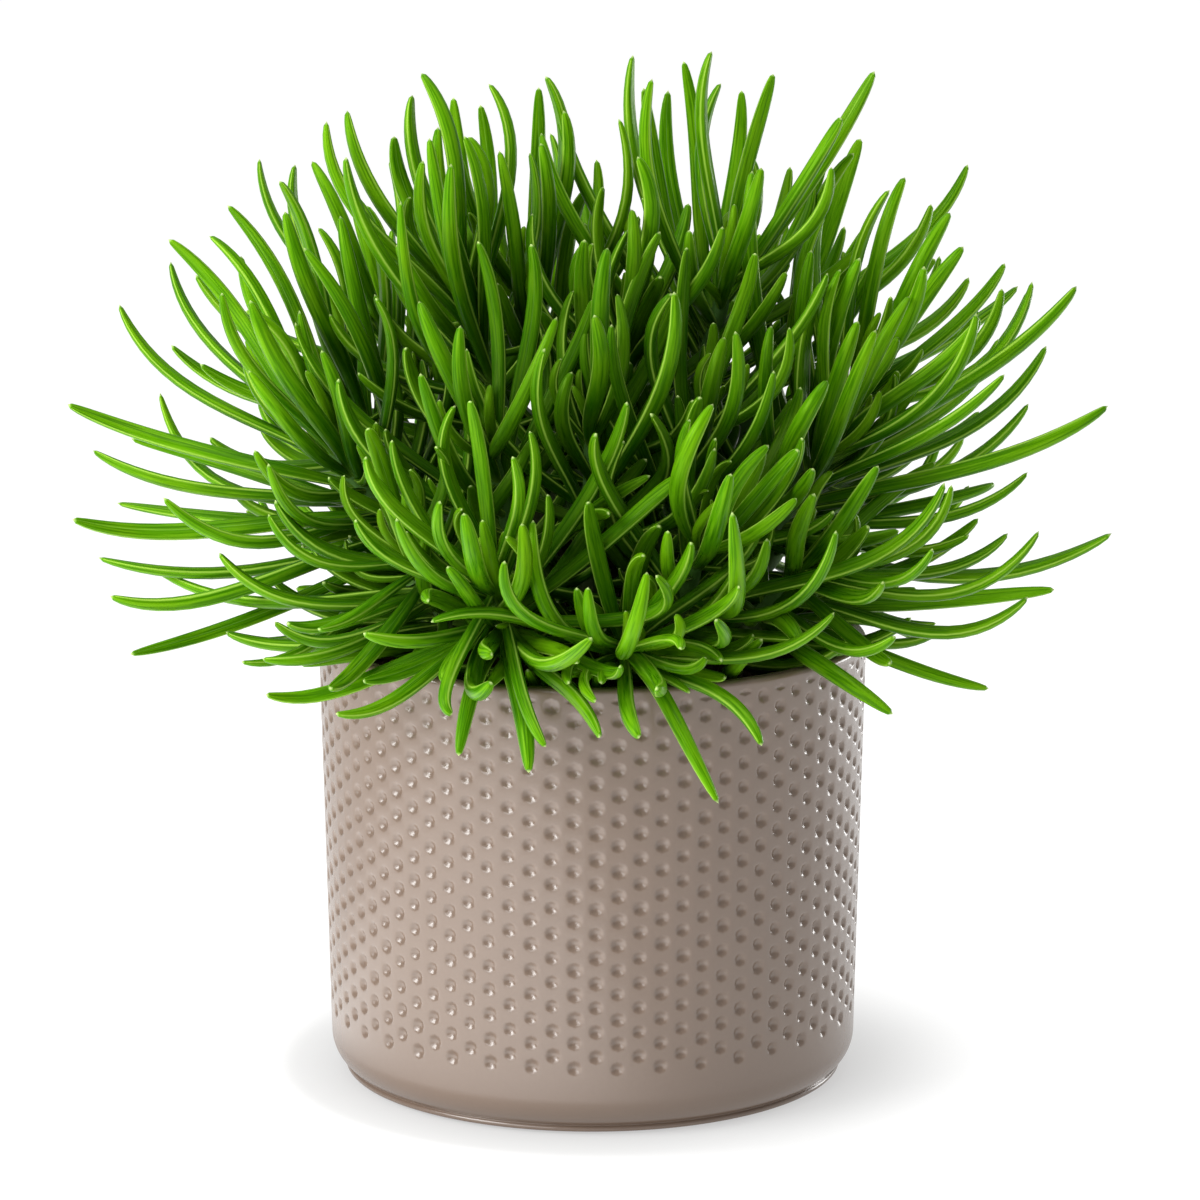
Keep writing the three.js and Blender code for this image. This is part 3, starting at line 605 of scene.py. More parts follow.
# Each stem: where it stands in the soil (x, y), its crown, about how many leaves it carries, and
# the tips of the leaves whose places are known, as in the solid model
STEMS = [
    {"name": "left", "root": [-26, -6], "crown": [-70, -14, 174], "leaves": 24, "tips": [
        [-140, -22, 188], [-138, -34, 159], [-136, 0, 172], [-127, 14, 173], [-134, -14, 144],
        [-128, -38, 139], [-122, -48, 125], [-92, -56, 125], [-128, 0, 212], [-120, 26, 184],
        [-115, 6, 229], [-116, 22, 221], [-103, -4, 231], [-99, 8, 238], [-97, -38, 220],
        [-89, -46, 219], [-112, -52, 168], [-132, 20, 154], [-71, -40, 205], [-57, -34, 218],
        [-84, -58, 178],
    ]},
    {"name": "left_upper", "root": [-22, 14], "crown": [-69, 20, 184], "leaves": 14, "tips": [
        [-86, 24, 243], [-83, 2, 237], [-77, -14, 229], [-75, 16, 231], [-68, 0, 236], [-65, 22, 239],
        [-63, 36, 235], [-78, -20, 213],
    ]},
    {"name": "left_rear", "root": [-20, 36], "crown": [-56, 46, 195], "leaves": 13, "tips": [
        [-110, 56, 215], [-111, 42, 215], [-119, 50, 194], [-110, 40, 190], [-93, 46, 247],
        [-84, 60, 244], [-91, 66, 194],
    ]},
    {"name": "top_left", "root": [-9, 6], "crown": [-35, 6, 216], "leaves": 18, "tips": [
        [-46, 4, 274], [-49, 18, 267], [-38, 22, 266], [-28, 6, 271], [-41, -12, 261], [-43, -22, 259],
        [-34, -16, 259], [-37, -30, 253], [-54, 16, 256], [-66, 4, 264], [-71, -6, 262],
        [-65, -22, 254], [-50, -38, 244], [-31, 34, 263],
    ]},
    {"name": "top", "root": [-6, 26], "crown": [-17, 30, 209], "leaves": 15, "tips": [
        [-13, 32, 271], [-15, 44, 267], [-8, 26, 262], [-14, 6, 255], [-25, -4, 254], [7, 14, 261],
        [14, 32, 245], [1, 54, 246], [-3, 62, 235], [-12, 58, 253],
    ]},
    {"name": "top_right", "root": [12, 16], "crown": [37, 12, 218], "leaves": 20, "tips": [
        [11, 16, 278], [14, 30, 268], [16, -2, 273], [25, 34, 275], [21, 46, 266], [32, 2, 280],
        [35, 20, 270], [41, 34, 267], [49, 14, 273], [67, 4, 262], [77, 24, 273], [65, 50, 244],
        [55, 44, 245], [61, 30, 241], [70, 38, 229], [-10, 40, 267], [-14, 26, 256],
    ]},
    {"name": "right_rear", "root": [22, 38], "crown": [57, 44, 203], "leaves": 13, "tips": [
        [105, 50, 245], [97, 44, 220], [106, 52, 213], [122, 46, 210], [121, 64, 209], [78, 66, 226],
        [79, 18, 226], [75, 52, 252],
    ]},
    {"name": "right_upper", "root": [30, 16], "crown": [74, 14, 186], "leaves": 15, "tips": [
        [85, 14, 245], [80, 0, 243], [97, 8, 236], [59, -2, 227], [63, 10, 235], [65, 22, 242],
        [88, -22, 225], [71, -20, 227], [43, 2, 248], [113, 18, 221],
    ]},
    {"name": "right", "root": [28, -6], "crown": [65, -12, 175], "leaves": 23, "tips": [
        [138, -18, 187], [130, -8, 218], [119, 2, 218], [101, -34, 214], [103, -22, 211],
        [111, 12, 201], [125, 20, 198], [108, -42, 199], [119, 6, 184], [118, -6, 167], [140, -16, 152],
        [111, 16, 160], [74, -44, 211], [70, -34, 212], [61, -24, 221], [66, -20, 224], [47, -36, 211],
        [61, -54, 199], [57, -66, 178], [32, -60, 185],
    ]},
    {"name": "middle_right", "root": [10, -12], "crown": [30, -24, 182], "leaves": 12, "tips": [
        [25, -22, 230], [21, -40, 220], [43, -26, 229], [5, -48, 213], [37, -54, 212], [47, -56, 202],
    ]},
    {"name": "middle", "root": [-1, -24], "crown": [0, -32, 182], "leaves": 12, "tips": [
        [-2, -30, 233], [4, -40, 232], [18, -20, 234], [10, -4, 233], [-12, -72, 210], [21, -60, 223],
    ]},
    {"name": "middle_left", "root": [-14, -22], "crown": [-27, -36, 178], "leaves": 13, "tips": [
        [-30, -34, 233], [-16, -40, 233], [-45, -48, 219], [-34, -58, 214], [-44, -68, 203],
        [-66, -50, 199], [-83, -50, 167], [-79, -22, 210],
    ]},
    {"name": "front_left", "root": [-20, -40], "crown": [-25, -66, 148], "leaves": 22, "tips": [
        [-31, -82, 198], [-35, -70, 195], [-51, -76, 187], [-57, -90, 185], [-49, -100, 171],
        [-38, -98, 175], [-32, -104, 173], [-20, -96, 186], [-16, -74, 189], [16, -98, 156],
        [0, -112, 143], [7, -104, 134], [2, -106, 116], [-65, -96, 120], [-84, -78, 121],
        [-58, -92, 140], [9, -72, 196], [22, -74, 177], [-34, -92, 108], [-16, -98, 105],
    ]},
    {"name": "front", "root": [4, -44], "crown": [9, -68, 132], "leaves": 14, "tips": [
        [32, -102, 98], [43, -98, 112], [16, -112, 130], [12, -106, 116], [22, -112, 140],
        [37, -98, 153], [62, -80, 143], [-1, -98, 153], [-1, -76, 171], [25, -90, 163], [-15, -80, 167],
        [-41, -88, 142],
    ]},
    {"name": "front_right", "root": [20, -30], "crown": [28, -56, 156], "leaves": 14, "tips": [
        [62, -84, 165], [91, -64, 174], [54, -66, 186], [52, -86, 186], [45, -78, 186], [35, -92, 181],
        [25, -74, 192], [28, -56, 195], [1, -78, 189], [35, -102, 173], [31, -98, 145],
    ]},
    {"name": "right_low", "root": [36, -24], "crown": [55, -32, 146], "leaves": 15, "tips": [
        [123, -34, 140], [115, -44, 140], [118, -40, 157], [88, -66, 157], [112, -16, 152],
        [105, -4, 154], [95, -16, 126], [106, -34, 113], [78, -70, 114], [78, -76, 136], [75, -70, 149],
        [88, 0, 119],
    ]},
    {"name": "left_low", "root": [-34, -24], "crown": [-47, -44, 151], "leaves": 12, "tips": [
        [-84, -60, 165], [-86, -62, 127], [-98, -30, 128], [-70, -82, 139], [-67, -84, 124],
        [-87, -20, 141], [-119, -8, 142], [-84, -44, 133],
    ]},
    {"name": "inner", "root": [4, 2], "crown": [8, 0, 204], "leaves": 13, "tips": []},
    {"name": "back_left", "root": [-38, 36], "crown": [-52, 52, 152], "leaves": 13, "tips": []},
    {"name": "back", "root": [2, 48], "crown": [6, 70, 168], "leaves": 13, "tips": []},
    {"name": "back_right", "root": [38, 30], "crown": [62, 44, 150], "leaves": 13, "tips": []},
    {"name": "back_low", "root": [-16, 56], "crown": [-22, 74, 142], "leaves": 11, "tips": []},
    {"name": "back_upper_left", "root": [-8, 42], "crown": [-26, 62, 192], "leaves": 12, "tips": []},
    {"name": "back_upper_right", "root": [16, 50], "crown": [30, 66, 190], "leaves": 12, "tips": []},
]

UP = np.array([0.0, 0.0, 1.0])
draw_state = SEED


def draw():
    """A seeded number between -1 and 1, by Park and Miller's rule."""
    global draw_state
    draw_state = draw_state * SEED_FACTOR % SEED_MODULUS
    return draw_state / SEED_MODULUS * 2 - 1


def unit(vector):
    return vector / np.linalg.norm(vector)


def stem_curve(stem):
    """The stem's axis and reach, and its cubic curve from its collar in the soil to its crown."""
    collar = np.array([*stem["root"], SOIL_TOP + STEM_COLLAR], float)
    crown = np.array(stem["crown"], float)
    reach = np.linalg.norm(crown - collar)
    axis = (crown - collar) / reach
    lower = collar + UP * STEM_EASE * reach
    upper = crown - axis * STEM_EASE * reach

    def curve(t):
        t = np.asarray(t, float)[..., None]
        k = 1 - t
        return k**3 * collar + 3 * k**2 * t * lower + 3 * k * t**2 * upper + t**3 * crown

    return curve, axis, reach


def leaf_profile(t, tip=SOLID_TIP):
    """Half width of a leaf at t, as a share of its widest: narrow root, full middle, blunt point."""
    t = np.asarray(t, float)
    swelling = np.sin(np.minimum(t / LEAF_WIDEST_AT, 1) * math.pi / 2)
    past = np.maximum(0, (t - LEAF_WIDEST_AT) / (1 - LEAF_WIDEST_AT))
    tapering = np.maximum(0, 1 - past**LEAF_POINT_POWER) ** tip
    return (LEAF_ROOT_SHARE + (1 - LEAF_ROOT_SHARE) * swelling) * tapering


def bowed_leaf(stem_index, root, tip, axis, spare):
    """A leaf is a quadratic curve from its root on the stem to its tip, bowed down and outwards, and a
    little to one side."""
    length = np.linalg.norm(tip - root)
    way = (tip - root) / length
    out = unit(way - axis * (way @ axis))
    bow = out - way * (out @ way) - UP + way * way[2]
    middle = (root + tip) / 2 + bow * (LEAF_BOW + LEAF_BOW_SPREAD * draw()) * length
    middle = middle + unit(np.cross(way, axis)) * LEAF_SIDE_BOW * draw() * length
    radius = LEAF_RADIUS + LEAF_RADIUS_SPREAD * draw()
    return {
        "stem": stem_index, "root": root, "middle": middle, "tip": tip, "known_tip": tip.copy(),
        "radius": radius, "spare": spare, "young": 0.0,
    }


def share_of(stem, reach, length):
    rise = stem["crown"][2] - SOIL_TOP
    return min(length / reach, (stem["crown"][2] - LEAFY_LOWEST) / rise)


def known_leaves(stem, index):
    """Leaves with known tips: those that lean furthest from the stem's axis grow lowest on it."""
    curve, axis, reach = stem_curve(stem)
    crown = np.array(stem["crown"], float)
    tips = sorted(
        (np.array(tip, float) for tip in stem["tips"]), key=lambda tip: -(unit(tip - crown) @ axis)
    )
    share = share_of(stem, reach, LEAFY_LENGTH)
    return [
        bowed_leaf(index, curve(1 - share * (i + 0.5) / len(tips)), tip, axis, False)
        for i, tip in enumerate(tips)
    ]


def spiral_leaf(stem, index, turn, down, share, lean, length):
    """A leaf at that turn of the spiral, that far down the leafy part of the stem."""
    curve, axis, reach = stem_curve(stem)
    side = unit(np.cross([1, 0, 0], axis))
    other = np.cross(axis, side)
    root = curve(1 - share * down)
    across = side * math.cos(turn) + other * math.sin(turn)
    return root, root + length * (axis * math.cos(lean) + across * math.sin(lean))


def spare_leaves(stem, index, known):
    """Further leaves: a golden-angle spiral down the stem, where its leaves leave room for a tip."""
    curve, axis, reach = stem_curve(stem)
    wanted = stem["leaves"] - len(known)
    share = share_of(stem, reach, SPARE_LENGTH_OF_STEM)
    spares = []
    for k in range(SPARE_TRIES):
        if len(spares) >= wanted:
            break
        down = (k % wanted + 0.5) / wanted
        lean = SPARE_LEAN_TOP + SPARE_LEAN_RANGE * down + SPARE_LEAN_SPREAD * draw()
        length = SPARE_LENGTH + SPARE_LENGTH_SPREAD * draw()
        root, tip = spiral_leaf(stem, index, k * GOLDEN_ANGLE, down, share, lean, length)
        if all(np.linalg.norm(leaf["tip"] - tip) >= SPARE_TIP_GAP for leaf in known + spares):
            spares.append(bowed_leaf(index, root, tip, axis, True))
    return spares


def column(leaves, key):
    return np.array([leaf[key] for leaf in leaves], float)


def leaf_points(leaves, shares):
    """Places on the leaves' curves at those shares of their length."""
    t = np.asarray(shares, float)[None, :, None]
    root, middle, tip = (column(leaves, key)[:, None, :] for key in ("root", "middle", "tip"))
    return (1 - t) ** 2 * root + 2 * t * (1 - t) * middle + t**2 * tip


def samples(knots, places, radii, start, count):
    """Evenly spaced places and radii on the straight stretches between the knots of each strand."""
    shares = [start + (1 - start) * i / (count - 1) for i in range(count)]
    after = np.array([max(1, next(k for k, knot in enumerate(knots) if knot >= t)) for t in shares])
    knots = np.array(knots)
    part = (np.array(shares) - knots[after - 1]) / (knots[after] - knots[after - 1])
    at = places[:, after - 1] * (1 - part)[:, None] + places[:, after] * part[:, None]
    return np.array(shares), at, radii[:, after - 1] * (1 - part) + radii[:, after] * part


def leaf_samples(leaves, start, count):
    radii = column(leaves, "radius")[:, None] * LEAF_FACET_SWELL * leaf_profile(LEAF_KNOTS)
    return samples(LEAF_KNOTS, leaf_points(leaves, LEAF_KNOTS), radii, start, count)


def stem_samples():
    places = np.array([stem_curve(stem)[0](STEM_KNOTS) for stem in STEMS])
    radii = STEM_FOOT_RADIUS + (STEM_CROWN_RADIUS - STEM_FOOT_RADIUS) * np.array(STEM_KNOTS)
    return samples(STEM_KNOTS, places, np.tile(radii, (len(STEMS), 1)), 0, KEPT_SAMPLES)[1:]


def boxes(at, radii, gap):
    reach = (radii + gap)[..., None]
    return (at - reach).min(1), (at + reach).max(1)


def boxes_meet(first, second):
    """Which boxes of the first set meet which of the second."""
    meets = np.ones((len(first[0]), len(second[0])), bool)
    for axis in range(3):
        meets &= first[0][:, None, axis] <= second[1][None, :, axis]
        meets &= second[0][None, :, axis] <= first[1][:, None, axis]
    return meets


def worst_presses(at_a, radii_a, at_b, radii_b, gap, skip=None):
    """For each pair of strands, how much they press on each other at most, and at which samples."""
    press = np.empty(len(at_a))
    worst = np.empty(len(at_a), int)
    for start in range(0, len(at_a), PAIRS_AT_ONCE):
        part = slice(start, start + PAIRS_AT_ONCE)
        a, b = at_a[part], at_b[part]
        square = (a**2).sum(2)[:, :, None] + (b**2).sum(2)[:, None, :] - 2 * a @ b.transpose(0, 2, 1)
        wanted = radii_a[part][:, :, None] + radii_b[part][:, None, :] + gap
        found = wanted - np.sqrt(np.maximum(square, 0))
        if skip is not None:
            found[skip[part]] = -1
        found = found.reshape(len(found), -1)
        worst[part] = found.argmax(1)
        press[part] = found[np.arange(len(found)), worst[part]]
    return press, worst // radii_b.shape[1], worst % radii_b.shape[1]


def steps_apart(at, radii, a, other_at, other_radii, b, strength, skip=None):
    """The pairs of strands that press on each other, at which samples, and the first one's step."""
    press, i, j = worst_presses(at[a], radii[a], other_at[b], other_radii[b], BEND_GAP, skip)
    hit = press > 0
    a, b, i, j = a[hit], b[hit], i[hit], j[hit]
    step = at[a, i] - other_at[b, j]
    step *= (press[hit] * strength / np.linalg.norm(step, axis=1))[:, None]
    return a, b, i, j, step * (SIDEWAYS_SHARE, 1, SIDEWAYS_SHARE)


def pushes_off_pot(at, radii):
    """How far each sample has to move to be clear of the pot's wall and the soil."""
    keep = radii + BEND_GAP
    reach = np.hypot(at[..., 0], at[..., 1])
    inner = RIM_RADIUS - WALL_THICKNESS
    over_soil = SOIL_TOP + SOIL_CROWN + keep - at[..., 2]
    in_soil = (reach < inner) & (over_soil > 0)
    dr = reach - np.clip(reach, inner, RIM_RADIUS)
    dz = at[..., 2] - np.minimum(at[..., 2], POT_HEIGHT)
    distance = np.hypot(dr, dz)
    near = np.maximum(distance, NEARLY_NOTHING)
    outwards = np.where(distance > 0, dr / near, 0)
    upwards = np.where(distance > 0, dz / near, 1)
    by = np.maximum(keep - distance, 0)
    push = at * ((outwards * by) / np.maximum(reach, NEARLY_NOTHING))[..., None]
    push[..., 2] = upwards * by
    push[in_soil] = 0
    push[..., 2][in_soil] = over_soil[in_soil]
    return push


def bend_apart(leaves, stems, rounds, free):
    """Bends leaves that press on each other, on a stem or on the pot apart. Only the free ones move,
    and known tips are drawn back to their places until the last, settling rounds."""
    stem_of = column(leaves, "stem").astype(int)
    pull = np.where(column(leaves, "spare") > 0, 0, TIP_PULL)[:, None]
    root, middle, tip = (column(leaves, key) for key in ("root", "middle", "tip"))
    stem_at, stem_radii = stems
    stem_boxes = boxes(stem_at, stem_radii, 0)
    first, second = np.triu_indices(len(leaves), 1)
    movable = free[first] | free[second]
    first, second = first[movable], second[movable]
    for bend_round in range(rounds):
        shares, at, radii = leaf_samples(leaves, BEND_FROM, BEND_SAMPLES)
        middle_move = np.zeros_like(middle)
        tip_move = np.zeros_like(tip)
        middle_share = 2 * shares * (1 - shares)
        tip_share = shares**2
        scale = 1 / (middle_share**2 + tip_share**2)

        def bend(which, sample, step):
            np.add.at(middle_move, which, step * (scale * middle_share)[sample][:, None])
            np.add.at(tip_move, which, step * (scale * tip_share)[sample][:, None])

        centre = (root + tip) / 2
        reach = np.linalg.norm(tip - root, axis=1) * 0.5 + BEND_LIMIT
        low, high = boxes(at, radii, BEND_GAP / 2)
        meets = np.all((low[first] <= high[second]) & (low[second] <= high[first]), axis=1)
        a, b = first[meets], second[meets]
        apart = np.linalg.norm(centre[a] - centre[b], axis=1)
        close = apart <= reach[a] + reach[b] + LEAF_RADIUS * 2
        a, b = a[close], b[close]
        early = shares < BEND_FROM_SAME_STEM
        skip = (stem_of[a] == stem_of[b])[:, None, None] & (early[:, None] | early[None, :])
        a, b, i, j, step = steps_apart(at, radii, a, at, radii, b, BEND_STEP, skip)
        bend(a, i, step)
        bend(b, j, -step)

        a, b = np.nonzero(boxes_meet((low - BEND_GAP, high + BEND_GAP), stem_boxes))
        other = stem_of[a] != b
        a, _, i, _, step = steps_apart(
            at, radii, a[other], stem_at, stem_radii, b[other], 2 * BEND_STEP
        )
        bend(a, i, step)

        push = pushes_off_pot(at, radii) * BEND_STEP
        a, i = np.nonzero((push**2).sum(2) > 0)
        bend(a, i, push[a, i])

        if bend_round < rounds - SETTLING_ROUNDS:
            tip_move += (column(leaves, "known_tip") - tip) * pull
        for moved, move in ((middle, middle_move), (tip, tip_move)):
            length = np.maximum(np.linalg.norm(move, axis=1), NEARLY_NOTHING)
            move *= np.minimum(1, BEND_LIMIT / length)[:, None]
            moved[free] += move[free]
        for leaf, new_middle, new_tip in zip(leaves, middle, tip):
            leaf["middle"], leaf["tip"] = new_middle, new_tip


def keep_clear(leaves, stems, last_round, gap):
    """Leaves out those that still touch another stem or its leaves, the spare ones first."""
    _, at, radii = leaf_samples(leaves, 0, KEPT_SAMPLES)
    stem_of = column(leaves, "stem").astype(int)
    touching = [set() for _ in leaves]
    own_boxes = boxes(at, radii, gap)
    a, b = np.nonzero(np.triu(boxes_meet(own_boxes, own_boxes), 1))
    other = stem_of[a] != stem_of[b]
    a, b = a[other], b[other]
    press, _, _ = worst_presses(at[a], radii[a], at[b], radii[b], gap)
    for i, j in zip(a[press > 0], b[press > 0]):
        touching[i].add(j)
        touching[j].add(i)
    a, b = np.nonzero(boxes_meet(own_boxes, boxes(stems[0], stems[1], 0)))
    other = stem_of[a] != b
    a, b = a[other], b[other]
    press, _, _ = worst_presses(at[a], radii[a], stems[0][b], stems[1][b], gap)
    on_stem = set(a[press > 0])
    kept = []
    for i in sorted(range(len(leaves)), key=lambda i: (leaves[i]["spare"], i)):
        stays = not leaves[i]["spare"] and not last_round
        if stays or not (i in on_stem or touching[i] & set(kept)):
            kept.append(i)
    return [leaves[i] for i in sorted(kept)]


stems = stem_samples()
leaves = []
for index, stem in enumerate(STEMS):
    known = known_leaves(stem, index)
    leaves += known + spare_leaves(stem, index, known)
for last_round in (False, True):
    bend_apart(leaves, stems, BEND_ROUNDS, np.ones(len(leaves), bool))
    leaves = keep_clear(leaves, stems, last_round, KEPT_GAP)

# The finer growth between those leaves: a tuft of short young leaves in each crown, leaves in the
# gaps of each spiral, short old ones further down, and a few that curl. They bend clear of the
# first ones.

YOUNG_LEAVES = 4
YOUNG_LENGTH = (16, 34)
YOUNG_LEAN = (0.12, 0.42)
YOUNG_SHARE = 0.07
YOUNG_LENGTH_SPREAD = 0.15
FILLING_TRIES = 60
FILLING_LEAVES = 11
HIDDEN_FILLING_LEAVES = 16
FILLING_TIP_GAP = 11
FILLING_LENGTH = (36, 54)
FILLING_LEAN = (0.25, 1.35)
FILLING_TURN = 1.1
FILLING_LENGTH_OF_STEM = 60
FILLING_LEAFY_SHARE = 0.9
FILLING_LEAN_SPREAD = 0.4
FILLING_YOUTH = 0.25
LOW_LEAVES = 7
LOW_LENGTH = (24, 40)
LOW_LEAN = (1.0, 1.5)
LOW_FROM = 0.55
LOW_RANGE = 0.4
# Tips of the short leaves that hang by the rim at the front
SHORT_TIPS = {
    "front_left": [
        [-31, -94, 119], [-10, -92, 114], [-31, -84, 127], [-22, -90, 122], [-22, -92, 137],
        [-58, -80, 124], [-28, -92, 158],
    ],
    "front": [[28, -84, 127], [35, -78, 132], [5, -92, 161], [-2, -92, 147]],
    "right_low": [[75, -70, 128], [53, -76, 131]],
    "left_low": [[-78, -70, 137]],
}
CURLED_LEAVES = 2
CURLED_LENGTH = (17, 30)
CURLED_BOW = (0.1, 0.28)
CURLED_FROM = 0.15
CURLED_RANGE = 0.6
CURLED_LEAN = 1.2
CURLED_YOUTH = 0.5
CURLED_TURN = 0.3
SHORT_LEAF_GIRTH = 0.3
FULL_LENGTH = 45
FINE_ROUNDS = 40
FINE_GAP = -0.15


def between(limits, share):
    return limits[0] + (limits[1] - limits[0]) * share


def drawn(limits):
    return between(limits, 0.5 + 0.5 * draw())


def fine_leaf(stem, index, turn, down, share, lean, length, young):
    root, tip = spiral_leaf(stem, index, turn, down, share, lean, length)
    leaf = bowed_leaf(index, root, tip, stem_curve(stem)[1], True)
    leaf["radius"] *= min(1, SHORT_LEAF_GIRTH + (1 - SHORT_LEAF_GIRTH) * length / FULL_LENGTH)
    leaf["young"] = young
    return leaf


def fine_leaves(stem, index, own):
    """The finer leaves of a stem, between its own ones."""
    curve, axis, reach = stem_curve(stem)
    tips = SHORT_TIPS.get(stem["name"], [])
    short_share = share_of(stem, reach, LEAFY_LENGTH)
    roots = [curve(1 - short_share * (k + 0.5) / len(tips)) for k in range(len(tips))]
    grown = [
        bowed_leaf(index, root, np.array(tip, float), axis, True) for root, tip in zip(roots, tips)
    ]
    for k in range(YOUNG_LEAVES):
        share = k / YOUNG_LEAVES
        length = between(YOUNG_LENGTH, share) * (1 + YOUNG_LENGTH_SPREAD * draw())
        lean = between(YOUNG_LEAN, share)
        turn = k * GOLDEN_ANGLE + index
        grown.append(fine_leaf(stem, index, turn, share, YOUNG_SHARE, lean, length, 1 - share / 2))
    leafy_share = min(FILLING_LENGTH_OF_STEM / reach, FILLING_LEAFY_SHARE)
    wanted = FILLING_LEAVES if stem["tips"] else HIDDEN_FILLING_LEAVES
    filling = []
    for k in range(FILLING_TRIES):
        if len(filling) == wanted:
            break
        down = (k % wanted + 0.5) / wanted
        lean = between(FILLING_LEAN, down) + FILLING_LEAN_SPREAD * draw()
        length = drawn(FILLING_LENGTH)
        turn = k * GOLDEN_ANGLE + FILLING_TURN
        leaf = fine_leaf(stem, index, turn, down, leafy_share, lean, length, FILLING_YOUTH)
        if all(np.linalg.norm(x["tip"] - leaf["tip"]) > FILLING_TIP_GAP for x in own + filling):
            filling.append(leaf)
    grown += filling
    for k in range(LOW_LEAVES):
        down = LOW_FROM + LOW_RANGE * (k + 0.5) / LOW_LEAVES
        lean = drawn(LOW_LEAN)
        length = drawn(LOW_LENGTH)
        grown.append(fine_leaf(stem, index, (k + 0.5) * GOLDEN_ANGLE, down, 1.0, lean, length, 0.0))
    for k in range(CURLED_LEAVES):
        down = CURLED_FROM + CURLED_RANGE * k / CURLED_LEAVES
        length = drawn(CURLED_LENGTH)
        turn = (k + CURLED_TURN) * GOLDEN_ANGLE + index
        leaf = fine_leaf(stem, index, turn, down, leafy_share, CURLED_LEAN, length, CURLED_YOUTH)
        outwards = unit(leaf["middle"] - (leaf["root"] + leaf["tip"]) / 2)
        leaf["middle"] += outwards * drawn(CURLED_BOW) * length
        grown.append(leaf)
    return grown


first_count = len(leaves)
for index, stem in enumerate(STEMS):
    leaves += fine_leaves(stem, index, [leaf for leaf in leaves if leaf["stem"] == index])
free = np.arange(len(leaves)) >= first_count
for leaf in leaves[:first_count]:
    leaf["spare"] = False
bend_apart(leaves, stems, FINE_ROUNDS, free)
leaves = keep_clear(leaves, stems, False, FINE_GAP)

# The growing of the mesh: each stem and leaf is a section swept along its line

LEAF_STEPS = 17
LEAF_CROWDING = 1.5
LEAF_BREADTH = 1.04
SECTION_SIDES = 16
LEAF_UPPER = 0.62
LEAF_LOWER = 0.95
LEAF_GROOVE = 0.3
# How far a leaf turns up more in its outer half, and how far it sways, against its length
LEAF_HOOK = (0.12, 0.42)
LEAF_SWAY = 0.22
STEM_STEPS = 24
STEM_RINGS = 14
STEM_RING_RELIEF = 0.06
LINE_SEAM = 0.00001
BUSH_CENTRE = np.array([0, 0, 150.0])
BUSH_REACH = np.array([125.0, 112.0, 120.0])
# Where the painted shade deep in the bush begins, and how fast it deepens
INSIDE_FROM = 0.88
INSIDE_RANGE = 0.42
# The root colour is partly the leaf's own deeper green and partly painted shade where leaves crowd at the
# stem
LEAF_ROOT_GREEN_AND_SHADE = (0.029, 0.148, 0.001)
LEAF_OUTER_COLOUR = (0.108, 0.322, 0.0015)
LEAF_LINE_SCALE = 3.4


def leafy_stem_tree():
    """Sweeps a leaf's section along the lines of the leaves, and a round one along the stem's line."""
    tree = new_tree("Leafy stem", {
        "Sides": "Int", "Upper Bulge": "Float", "Lower Bulge": "Float", "Groove": "Float",
        "Seam": "Float", "Leaf": "Material", "Bark": "Material",
    })
    given = tree.nodes.new("NodeGroupInput").outputs
    _, subtract, times = arithmetic(tree)

    def swept(lines, section):
        return node(tree, "GeometryNodeCurveToMesh", {
            "Curve": lines, "Profile Curve": section, "Scale": stored(tree, "half_width"),
            "Fill Caps": True,
        })

    turned_up = node(tree, "GeometryNodeSetCurveNormal", {
        "Curve": node(tree, "GeometryNodeMeshToCurve", {"Mesh": given["Geometry"]}),
        "Normal": stored(tree, "upper", "FLOAT_VECTOR"),
    }, mode="FREE")
    lines = node(tree, "GeometryNodeSeparateGeometry", {
        "Geometry": turned_up, "Selection": stored(tree, "woody"),
    }, domain="POINT").outputs
    circle = node(tree, "GeometryNodeCurvePrimitiveCircle", {
        "Resolution": given["Sides"], "Radius": 1.0,
    })
    position = node(tree, "GeometryNodeInputPosition")
    at = split(tree, position)
    inwards = subtract(1.0, sums(tree, "ABSOLUTE", at["Y"]))
    dip = times(times(inwards, inwards), given["Groove"])
    bulge = node(tree, "ShaderNodeMix", {
        "Factor": sums(tree, "GREATER_THAN", at["X"], 0.0), "A": given["Lower Bulge"],
        "B": times(given["Upper Bulge"], subtract(1.0, dip)),
    }, data_type="FLOAT")
    section = moved(tree, circle, combined(tree, X=times(at["X"], bulge), Y=at["Y"]))
    leaf_bodies = swept(lines["Inverted"], store(tree, section, "section", position))
    stem_bodies = swept(lines["Selection"], circle)
    bodies = joined(
        tree, coated(tree, leaf_bodies, given["Leaf"]), coated(tree, stem_bodies, given["Bark"])
    )
    sewn = node(tree, "GeometryNodeMergeByDistance", {"Geometry": bodies, "Distance": given["Seam"]})
    rounded = node(tree, "GeometryNodeSetShadeSmooth", {"Geometry": sewn})
    real = node(tree, "GeometryNodeRealizeInstances", {"Geometry": rounded})
    node(tree, "NodeGroupOutput", {"Geometry": real})
    return tree


def skin_value(tree, name, output="Fac"):
    return node(tree, "ShaderNodeAttribute", attribute_name=name).outputs[output]


